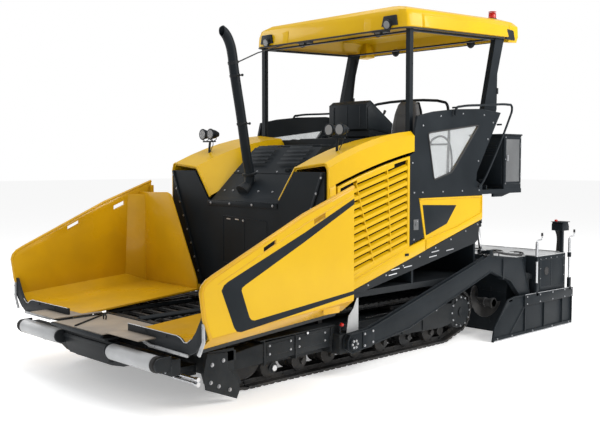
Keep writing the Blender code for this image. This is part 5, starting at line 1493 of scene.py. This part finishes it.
def makeCabinets():
    side, front, rear, high = 1.195, 3.80, 4.165, 2.385
    frames = [plate("rim", [(front + 0.010, 1.80), (rear - 0.008, 1.80), (rear - 0.008, high - 0.012),
                    (front + 0.010, high - 0.012)], 'x',
                side - 0.002, side + 0.006)]
    carve(frames[0], plate("hole", [(front + 0.038, 1.83), (rear - 0.036, 1.83), (rear - 0.036, high - 0.042),
                    (front + 0.038, high - 0.042)],
                'x', side - 0.05, side + 0.05))
    frames.append(block("cap", (0.69, front - 0.012, high - 0.002), (side + 0.012, rear + 0.010, high + 0.016)))
    frames.append(plate("bracket", [(3.62, 1.66), (3.80, 1.66), (3.98, 1.70), (3.98, 1.735), (3.62, 1.735)], 'x',
                side - 0.05, side - 0.02))
    frames.append(plate("bracket", [(3.45, 1.60), (3.80, 1.66), (4.10, 1.70), (4.10, 1.735), (3.45, 1.735)], 'x',
                0.72, 0.75))
    frames.append(block("frontPanel", (0.735, front - 0.006, 1.80), (side - 0.03, front + 0.002, high - 0.04)))
    for k in range(5):
        frames.append(block("vent", (0.80, front - 0.014, 2.14 + 0.03 * k),
                    (1.10, front - 0.004, 2.152 + 0.03 * k)))
    frames.append(block("rearPanel", (0.735, rear - 0.002, 1.80), (side - 0.03, rear + 0.006, high - 0.04)))
    fitPair(soften(join("cabinet_frames", *frames), 0.004), "tractor", blackPaint)
    panel = block("cabinet_door", (side - 0.002, front + 0.042, 1.834), (side + 0.003, rear - 0.040, high - 0.046))
    fitPair(soften(panel, 0.003), "tractor", mouldedGrey)
    metal = [rod("hinge", (side + 0.010, rear - 0.022, z), (side + 0.010, rear - 0.022, z + 0.06), 0.007, 12)
            for z in (1.88, 2.24)]
    metal.append(block("latch", (side + 0.002, front + 0.05, 2.08), (side + 0.014, front + 0.075, 2.15)))
    metal.append(bolts("bolts", [(side + 0.006, s, z) for s in (front + 0.024, rear - 0.022)
                    for z in (1.815, 2.10, 2.36)], (1, 0, 0), 0.006))
    fitPair(join("cabinet_metal", *metal), "tractor", zincBolt)

    pads = [block("foot", (1.085, 2.065, 2.3305), (1.195, 2.145, 2.342)),
            block("foot", (1.070, 3.10, 1.7505), (1.210, 3.15, 1.80)),
            plate("gusset", [(2.13, 2.342), (2.145, 2.342), (2.132, 2.44), (2.13, 2.44)], 'x', 1.13, 1.15),
            plate("gusset", [(3.26, 1.98), (3.33, 2.0), (3.56, 2.42), (3.58, 2.52)], 'x', 1.115, 1.165),
            block("clamp", (1.10, 3.655, 2.86), (1.18, 3.685, 2.93)),
            tube("wire", [(1.105, 2.10, 2.36), (1.102, 2.10, 2.90), (1.104, 2.10, 3.43)], 0.006, 6),
            tube("hose", [(1.09, 3.30, 2.02), (1.09, 3.50, 2.42), (1.09, 3.60, 2.70), (1.09, 3.66, 3.10),
                    (1.09, 3.72, 3.45)], 0.009, 8)]
    fitPair(soften(join("post_brackets", *pads), 0.002), "tractor", frameBlack)
    fitPair(bolts("post_bolts", [(x, s, 2.342) for x in (1.098, 1.182) for s in (2.075, 2.136)], (0, 0, 1), 0.007),
            "tractor",
            zincBolt)


makePlatform()
makeCabinets()
print("platform and cabinets made")


# tow arms, lift cylinders and augers
towOutline = [(1.019, 0.41), (0.985, 0.36), (0.985, 0.27), (1.048, 0.23), (1.91, 0.36), (3.378, 0.816),
        (3.772, 0.675),
        (4.00, 0.46), (4.20, 0.46), (4.023, 0.917), (3.334, 0.999), (1.30, 0.43)]


def makeTowArms():
    web = plate("web", towOutline, 'x', 1.264, 1.322)
    soften(web, 0.006, 3)
    rims = []
    for x in (1.266, 1.322):
        rims.append(tube("rim", [(x, s, z) for s, z in towOutline + towOutline[:1]], 0.008, 8, smooth=False))
    collar = plate("collar", [(1.19, 0.255), (1.36, 0.28), (1.36, 0.435), (1.30, 0.425), (1.19, 0.42)], 'x', 1.262,
            1.332)
    boss = rod("boss", (1.262, 1.069, 0.315), (1.338, 1.069, 0.315), 0.062, 28)
    lug = plate("lug", [(3.325, 0.90), (3.445, 0.90), (3.415, 1.06), (3.355, 1.06)], 'x', 1.262, 1.320)
    pin = rod("pin", (1.20, 3.385, 1.03), (1.325, 3.385, 1.03), 0.022, 16)
    strap = plate("strap", [(3.60, 0.70), (3.63, 0.71), (3.63, 0.95), (3.60, 0.94)], 'x', 1.262, 1.334)
    arm = join("tow_arm", web, *rims, soften(join("fittings", collar, boss, lug, pin, strap), 0.003))
    fitPair(arm, "screed", blackPaint, ["tow_arm_{}"])
    spots = [(1.338, 1.069 + 0.035 * math.cos(a), 0.315 + 0.035 * math.sin(a)) for a in angles(6, False)]
    spots += [(1.332, s, z) for s, z in ((1.215, 0.28), (1.335, 0.30), (1.215, 0.395), (1.335, 0.41))]
    fitPair(bolts("tow_arm_bolts", spots, (1, 0, 0), 0.009), "screed", zincBolt)
    hoses = [tube("hose", [(x, 3.30, 0.995), (x, 3.45, 1.030), (x, 3.75, 0.985), (x, 4.00, 0.955),
                    (x - 0.04, 4.12, 0.96)], 0.013, 8)
            for x in (1.275, 1.308)]
    fitPair(join("tow_arm_hoses", *hoses), "screed", blackRubber)

    top, eye = Vector((3.265, 1.62)), Vector((3.385, 1.03))
    way = (eye - top).normalized()

    def down(distance, x=1.17):
        spot = top + way * distance
        return (x, spot.x, spot.y)

    barrel = [carve(rod("barrel", down(0.010), down(0.298), 0.040, 28),
                rod("bore", down(0.02), down(0.32), 0.0295, 28)),
            rod("cap", down(-0.02), down(0.012), 0.042, 28),
            rod("port", down(0.05, 1.205), down(0.05, 1.225), 0.012, 12),
            rod("port", down(0.245, 1.205), down(0.245, 1.225), 0.012, 12),
            tube("pipe", [down(0.05, 1.222), down(0.09, 1.228), down(0.21, 1.228), down(0.245, 1.222)], 0.006, 6)]
    fitPair(soften(join("lift_barrel", *barrel), 0.002), "lift_barrel_{}", blackPaint,
            ["lift_barrel_{}"])
    ram = [rod("ram", down(0.285), down(0.575), 0.0195, 24),
           rod("eye", (1.147, eye.x, eye.y), (1.193, eye.x, eye.y), 0.038, 24)]
    fitPair(soften(join("lift_rod", *ram), 0.002), "lift_rod_{}", brightSteel, ["lift_rod_{}"])


def makeAugers():
    centre, height, start, reach, turns, steps = 3.67, 0.40, 0.12, 1.17, 3, 36
    pitch = (reach - 0.04 - start) / turns
    rings = []
    for k in range(steps * turns + 1):
        angle = math.tau * k / steps
        x = start + pitch * k / steps
        ring = [(0.045, 0.001), (0.172, 0.003), (0.1795, 0.007), (0.1795, 0.013), (0.172, 0.017), (0.045, 0.019)]
        rings.append([(x + dx, centre + r * math.cos(angle), height + r * math.sin(angle)) for r, dx in ring])
    flight = skin("flight", rings)
    shaft = [rod("shaft", (0.10, centre, height), (reach, centre, height), 0.048, 28)]
    for k in range(6):
        x = 0.20 + 0.165 * k
        shaft.append(rod("collar", (x, centre, height), (x + 0.035, centre, height), 0.056, 24))
    shaft.append(rod("hub", (reach - 0.03, centre, height), (reach, centre, height), 0.062, 24))
    fitPair(join("auger", flight, soften(join("shaft", *shaft), 0.002)), "auger_{}", trackSteel,
            ["auger_{}"])
    case = [plate("case", [(3.49, 0.72), (3.48, 0.30), (3.55, 0.215), (3.79, 0.215), (3.83, 0.30), (3.83, 0.66),
                    (3.79, 0.73)], 'x', -0.088, 0.088),
            plate("lid", [(3.52, 0.68), (3.52, 0.32), (3.57, 0.26), (3.77, 0.26), (3.80, 0.32), (3.80, 0.64)], 'x',
                -0.096, 0.096),
            block("arm", (-0.10, 3.203, 0.60), (0.10, 3.50, 0.72))]
    case.append(rod("bearing", (-0.10, centre, height), (0.10, centre, height), 0.085, 32))
    fit(soften(join("auger_gearbox", *case), 0.005, 3), "tractor", frameBlack, ["auger_gearbox"])
    spots = [(0.096, s, z) for s, z in ((3.535, 0.65), (3.535, 0.50), (3.535, 0.34), (3.785, 0.34), (3.785, 0.50),
                (3.785, 0.62))]
    fit(bolts("gearbox_bolts", spots, (1, 0, 0), 0.009), "tractor", zincBolt)


makeTowArms()
makeAugers()
print("tow arms and augers made")


# screed
guide = {"station": 4.28, "radius": 0.034, "left": (0.30, 0.66), "right": (0.42, 0.78)}


def makeGuides():
    for side, sign in (("left", 1), ("right", -1)):
        tubes, plates = [], []
        for z in guide[side]:
            tubes.append(rod("guide", (-0.90 * sign, guide["station"], z), (1.20 * sign, guide["station"], z),
                        guide["radius"], 28))
            plates.append(rod("clamp", (1.185 * sign, guide["station"], z), (1.245 * sign, guide["station"], z),
                        0.048, 28))
        x0, x1 = sorted((1.190 * sign, 1.240 * sign))
        plates.append(block("bracket", (x0, 4.240, guide[side][0] - 0.05), (x1, 4.318, guide[side][1] + 0.05)))
        for z in guide[side]:
            plates.append(block("arm", (x0, 4.30, z - 0.03), (x1, 4.392, z + 0.03)))
        fit(join("extension_guides_" + side, *tubes), "extension_" + side, brightSteel)
        fit(soften(join("guide_brackets_" + side, *plates), 0.003), "extension_" + side, frameBlack)


def makeScreed():
    half = 1.17
    body = [plate("shell", [(3.922, 0.032), (3.952, 0.002), (4.358, 0.002), (4.358, 0.905), (4.03, 0.905),
                    (3.925, 0.56)], 'x', -half + 0.002, half - 0.002),
            plate("lip", [(3.918, 0.50), (3.935, 0.50), (4.035, 0.915), (4.02, 0.922)], 'x', -half, half),
            plate("ironing", [(3.93, 0.0), (4.36, 0.0), (4.36, 0.028), (3.93, 0.028)], 'x', -half, half)]
    for x in (-0.95, -0.60, -0.25, 0.25, 0.60, 0.95):
        body.append(plate("rib", [(3.915, 0.10), (3.925, 0.10), (3.925, 0.55), (3.912, 0.54)], 'x', x - 0.008,
                    x + 0.008))
    for side in (1, -1):
        low, high = sorted((side * (half - 0.05), side * 1.2595))
        body.append(block("bridge", (low, 4.02, 0.52), (high, 4.14, 0.80)))
    # the extensions' guide tubes run in bores right through the body
    bores = [rod("bore", (-1.4, guide["station"], z), (1.4, guide["station"], z), guide["radius"] + 0.007, 28)
            for z in guide["left"] + guide["right"]]
    whole = soften(join("screed_body", *[carve(body[0], *bores), *body[1:]]), 0.004, 2)
    fit(whole, "screed", blackPaint, ["screed_body"])
    sheets = []
    for x0, x1 in ((-1.16, -0.62), (-0.60, -0.02), (0.02, 0.60), (0.62, 1.16)):
        sheets.append(block("sheet", (x0, 4.045, 0.904), (x1, 4.352, 0.916)))
        sheets.append(block("edge", (x0, 4.345, 0.904), (x1, 4.353, 0.9295)))
    fit(soften(join("screed_walkway", *sheets), 0.002), "screed", walkwaySheet)
    parts = []
    for x in (-0.9, -0.3, 0.3, 0.9):
        parts.append(tube("grab", [(x - 0.07, 4.06, 0.915), (x - 0.07, 4.05, 0.955), (x + 0.07, 4.05, 0.955),
                        (x + 0.07, 4.06, 0.915)], 0.007, 8))
    parts.append(tube("line", [(-1.05, 4.00, 0.86), (-0.5, 3.985, 0.85), (0.5, 3.985, 0.85), (1.05, 4.00, 0.86)],
                0.012, 8))
    fit(join("screed_pipes", *parts), "screed", blackRubber)
    spots = [(x, 4.36, z) for x in (-1.1, -0.7, -0.3, 0.3, 0.7, 1.1) for z in (0.08, 0.80)]
    fit(bolts("screed_bolts", spots, (0, 1, 0), 0.008), "screed", zincBolt)


def makeExtensions():
    end, front, rear, top = 1.335, 4.38, 5.02, 0.93
    shell = [plate("shell", [(front + 0.002, 0.004), (rear - 0.06, 0.004), (rear - 0.06, 0.36),
                    (rear - 0.004, 0.42), (rear - 0.004, top - 0.02),
                    (front + 0.002, top - 0.02)], 'x', 0.022, end - 0.004),
            plate("ironing", [(front, 0.0), (rear - 0.055, 0.0), (rear - 0.055, 0.03), (front, 0.03)], 'x', 0.02,
                end)]
    rim = plate("rim", [(4.40, 0.50), (4.99, 0.50), (4.99, 0.895), (4.40, 0.895)], 'x', end - 0.008, end)
    carve(rim, plate("hole", [(4.435, 0.535), (4.955, 0.535), (4.955, 0.86), (4.435, 0.86)], 'x', end - 0.05,
                end + 0.05))
    shell.append(rim)
    shell.append(plate("divider", [(4.66, 0.52), (4.68, 0.52), (4.68, 0.88), (4.66, 0.88)], 'x', end - 0.007,
                end - 0.001))
    shell.append(block("step", (0.022, 4.96, 0.30), (end - 0.002, 5.125, 0.312)))
    shell.append(block("stepLip", (0.022, 5.113, 0.285), (end - 0.002, 5.125, 0.33)))
    for x in (0.16, 0.50, 0.84, 1.18):
        shell.append(plate("gusset", [(4.955, 0.20), (5.11, 0.302), (4.955, 0.302)], 'x', x - 0.006, x + 0.006))
        shell.append(block("rearPanel", (x - 0.13, rear - 0.006, 0.47), (x + 0.13, rear + 0.004, 0.85)))
    shell.append(block("post", (1.27, 4.97, 0.90), (1.31, 5.01, 1.20)))
    cowl = plate("hood", [(4.94, 1.195), (5.10, 1.195), (5.10, 1.245), (5.07, 1.308), (4.96, 1.308), (4.94, 1.27)],
            'x', 1.172, 1.328)
    shell.append(cowl)
    shell.append(plate("flap", [(4.925, 1.303), (4.935, 1.309), (5.115, 1.309), (5.12, 1.300)], 'x', 1.165, 1.333))
    fitPair(soften(join("screed_extension", *shell), 0.004, 2), "extension_{}", blackPaint,
            ["screed_extension_{}"])
    sheets = []
    for x0, x1 in ((0.03, 0.44), (0.46, 0.87), (0.89, 1.325)):
        sheets.append(block("sheet", (x0, front + 0.01, top - 0.021), (x1, rear - 0.012, top - 0.010)))
        sheets.append(block("edge", (x0, rear - 0.020, top - 0.021), (x1, rear - 0.010, top)))
        sheets.append(block("edge", (x0, front + 0.010, top - 0.021), (x0 + 0.008, rear - 0.012, top)))
    sheets.append(block("stepTop", (0.03, 4.975, 0.3115), (end - 0.006, 5.108, 0.3165)))
    fitPair(soften(join("extension_walkway", *sheets), 0.002), "extension_{}", walkwaySheet)
    dark = [rod("port", (end - 0.010, 4.56, 0.72), (end + 0.001, 4.56, 0.72), 0.045, 28, 0.040),
            tube("ring", [(end - 0.002, 4.56 + 0.047 * math.cos(a), 0.72 + 0.047 * math.sin(a))
                    for a in angles(28)], 0.005, 8)]
    for k in range(5):
        x = 1.20 + 0.018 * k
        dark.append(tube("hose", [(x, 4.99, 1.20), (x, 5.035, 1.12), (x - 0.01, 5.05, 0.98),
                        (x - 0.03, 5.045, 0.80),
                        (x - 0.05, 5.02, 0.62 + 0.02 * k)], 0.010, 8))
    for k in range(3):
        dark.append(tube("loop", [(0.25 + 0.30 * k, 4.45, 0.915), (0.28 + 0.30 * k, 4.50, 0.928),
                        (0.38 + 0.30 * k, 4.55, 0.925),
                        (0.45 + 0.30 * k, 4.50, 0.914)], 0.008, 6))
    fitPair(join("extension_hoses", *dark), "extension_{}", blackRubber)
    keys = [block("key", (1.185 + 0.032 * k, 5.099, 1.205), (1.205 + 0.032 * k, 5.104, 1.225)) for k in range(4)]
    fitPair(join("extension_keys", *keys), "extension_{}", whiteCoat)
    knob = rod("extension_stop", (1.20, 5.0, 1.300), (1.20, 5.0, 1.332), 0.022, 20, 0.018)
    fitPair(soften(knob, 0.003), "extension_{}", redLens)
    spots = [(end - 0.003, s, z) for s in (4.418, 4.972) for z in (0.64, 0.76, 0.878)]
    spots += [(end - 0.003, s, 0.878) for s in (4.54, 4.66, 4.80)]
    fitPair(bolts("extension_bolts", spots, (1, 0, 0), 0.007), "extension_{}", zincBolt)


def makeEndPlates():
    low = 1.341  # the plate's inner face
    board = plate("board", [(3.366, 0.004), (5.134, 0.004), (5.134, 0.466), (3.80, 0.480), (3.672, 0.456),
                (3.404, 0.168)], 'x', low, low + 0.016)
    beam = plate("beam", [(4.01, 0.350), (5.138, 0.350), (5.138, 0.470), (4.01, 0.482)], 'x', low + 0.010,
            low + 0.038)
    shoe = plate("shoe", [(3.361, 0.0), (5.138, 0.0), (5.138, 0.045), (3.372, 0.045)], 'x', low + 0.004,
            low + 0.030)
    nose = tube("nose", [(low + 0.018, s, z) for s,
                z in ((3.372, 0.02), (3.404, 0.168), (3.672, 0.456), (3.80, 0.478), (4.01, 0.476))], 0.010, 8,
            smooth=False)
    ribs = [plate("rib", [(s, 0.04), (s + 0.016, 0.04), (s + 0.016, 0.36), (s, 0.36)], 'x', low + 0.010,
                low + 0.034)
            for s in (4.02, 4.45, 4.88, 5.115)]
    ribs.append(skin("brace", [[(low + 0.01, 3.70, 0.06), (low + 0.03, 3.72, 0.06), (low + 0.03, 3.74, 0.06),
                    (low + 0.01, 3.76, 0.06)],
                    [(low + 0.01, 4.00, 0.34), (low + 0.03, 4.01, 0.34), (low + 0.03, 4.03, 0.34),
                    (low + 0.01, 4.04, 0.34)]]))
    notch = plate("slot", [(3.70, 0.425), (3.775, 0.432), (3.775, 0.455), (3.70, 0.448)], 'x', low - 0.1, low + 0.1)
    board = carve(board, notch)
    whole = soften(join("end_plate", board, beam, shoe, *ribs), 0.003)
    guides = []
    for s in (4.285, 5.06):
        guides.append(block("sleeve", (low + 0.002, s - 0.024, 0.44), (low + 0.038, s + 0.024, 0.60)))
        guides.append(block("sleeve", (low + 0.002, s - 0.020, 0.86), (low + 0.038, s + 0.020, 0.92)))
    whole = join("end_plate", whole, nose, soften(join("guides", *guides), 0.003))
    fitPair(whole, "end_plate_{}", blackPaint, ["end_plate_{}"])
    silver = []
    for s in (4.285, 5.06):
        silver.append(rod("spindle", (low + 0.02, s, 0.42), (low + 0.02, s, 1.098), 0.0165, 20))
        for k in range(24):
            silver.append(rod("thread", (low + 0.02, s, 0.93 + 0.006 * k), (low + 0.02, s, 0.933 + 0.006 * k),
                        0.0185, 16))
        silver.append(tube("crank", [(low + 0.02, s, 1.095), (low + 0.02, s + 0.01, 1.112),
                        (low + 0.02, s + 0.10, 1.125), (low + 0.02, s + 0.115, 1.14),
                        (low + 0.02, s + 0.115, 1.17)], 0.008, 8))
    silver.append(plate("wear", [(3.38, 0.004), (5.13, 0.004), (5.13, 0.014), (3.38, 0.014)], 'x', low + 0.028,
                low + 0.033))
    silver.append(plate("top", [(4.02, 0.481), (5.13, 0.4695), (5.13, 0.4735), (4.02, 0.485)], 'x', low + 0.012,
                low + 0.036))
    fitPair(join("end_plate_spindles", *silver), "end_plate_{}", brightSteel)
    knobs = [rod("knob", (low + 0.02, s + 0.115, 1.165), (low + 0.02, s + 0.115, 1.205), 0.014, 14, 0.012)
            for s in (4.285, 5.06)]
    fitPair(soften(join("end_plate_knobs", *knobs), 0.003), "end_plate_{}", blackRubber)
    spots = [(low + 0.038, s, z) for s in (4.06, 4.35, 4.64, 4.93, 5.10) for z in (0.37, 0.455)]
    spots += [(low + 0.030, s, 0.030) for s in (3.45, 3.75, 4.20, 4.65, 5.05)]
    fitPair(bolts("end_plate_bolts", spots, (1, 0, 0), 0.007), "end_plate_{}", zincBolt)


makeGuides()
makeScreed()
makeExtensions()
makeEndPlates()
print("screed made")


# camera, light and floor
view = {"place": (6.95, -5.017, 2.077), "yaw": 46.36, "pitch": 3.55, "lens": 51.98, "sensor": 36}
skyLight, floorGlow, floorSize = 0.62, 0.34, 160


def makeStage():
    camera = bpy.data.cameras.new("camera")
    camera.lens = view["lens"]
    camera.sensor_width = view["sensor"]
    seat = bpy.data.objects.new("camera", camera)
    bpy.context.collection.objects.link(seat)
    seat.location = at(*view["place"])
    yaw, pitch = math.radians(view["yaw"]), math.radians(view["pitch"])
    gaze = Vector((-math.sin(yaw) * math.cos(pitch), math.cos(yaw) * math.cos(pitch), -math.sin(pitch)))
    seat.rotation_euler = gaze.to_track_quat('-Z', 'Y').to_euler()
    bpy.context.scene.camera = seat

    lights = {"key": ((7.5, 5.5, 6.0), 5.0, 640, (1, 0.99, 0.97)), "top": ((0, 2.0, 9.5), 9.0, 430, (1, 1, 1)),
            "front": ((3.5, -8.0, 4.0), 5.0, 60, (0.97, 0.98, 1)),
            "right": ((-7.5, -1.0, 4.5), 5.0, 200, (1, 1, 1))}
    for name, (spot, size, power, colour) in lights.items():
        lamp = bpy.data.lights.new(name, 'AREA')
        lamp.size = size
        lamp.energy = power
        lamp.color = colour
        holder = bpy.data.objects.new(name, lamp)
        bpy.context.collection.objects.link(holder)
        holder.location = at(*spot)
        holder.rotation_euler = (at(0, 1.6, 1.2) - holder.location).to_track_quat('-Z', 'Y').to_euler()
    world = bpy.data.worlds.new("studio")
    bpy.context.scene.world = world
    world.use_nodes = True
    # the backdrop is white to the camera, and softer as a light
    nodes, links = world.node_tree.nodes, world.node_tree.links
    sky = nodes["Background"]
    sky.inputs[0].default_value = (1, 1, 1, 1)
    sky.inputs[1].default_value = skyLight
    backdrop = nodes.new('ShaderNodeBackground')
    backdrop.inputs[0].default_value = (1, 1, 1, 1)
    path = nodes.new('ShaderNodeLightPath')
    choose = nodes.new('ShaderNodeMixShader')
    links.new(path.outputs["Is Camera Ray"], choose.inputs[0])
    links.new(sky.outputs[0], choose.inputs[1])
    links.new(backdrop.outputs[0], choose.inputs[2])
    links.new(choose.outputs[0], nodes["World Output"].inputs["Surface"])
    bpy.context.scene.view_settings.view_transform = 'Standard'

    deselect()
    bpy.ops.mesh.primitive_plane_add(size=floorSize)
    floor = settle("floor")
    material = bpy.data.materials.new("pale floor")
    material.use_nodes = True
    shader = material.node_tree.nodes["Principled BSDF"]
    shader.inputs["Base Color"].default_value = (0.96, 0.96, 0.96, 1)
    shader.inputs["Roughness"].default_value = 0.8
    shader.inputs["Specular IOR Level"].default_value = 0.0
    shader.inputs["Emission Color"].default_value = (1, 1, 1, 1)
    shader.inputs["Emission Strength"].default_value = floorGlow
    floor.data.materials.append(material)


makeStage()
print("stage made")
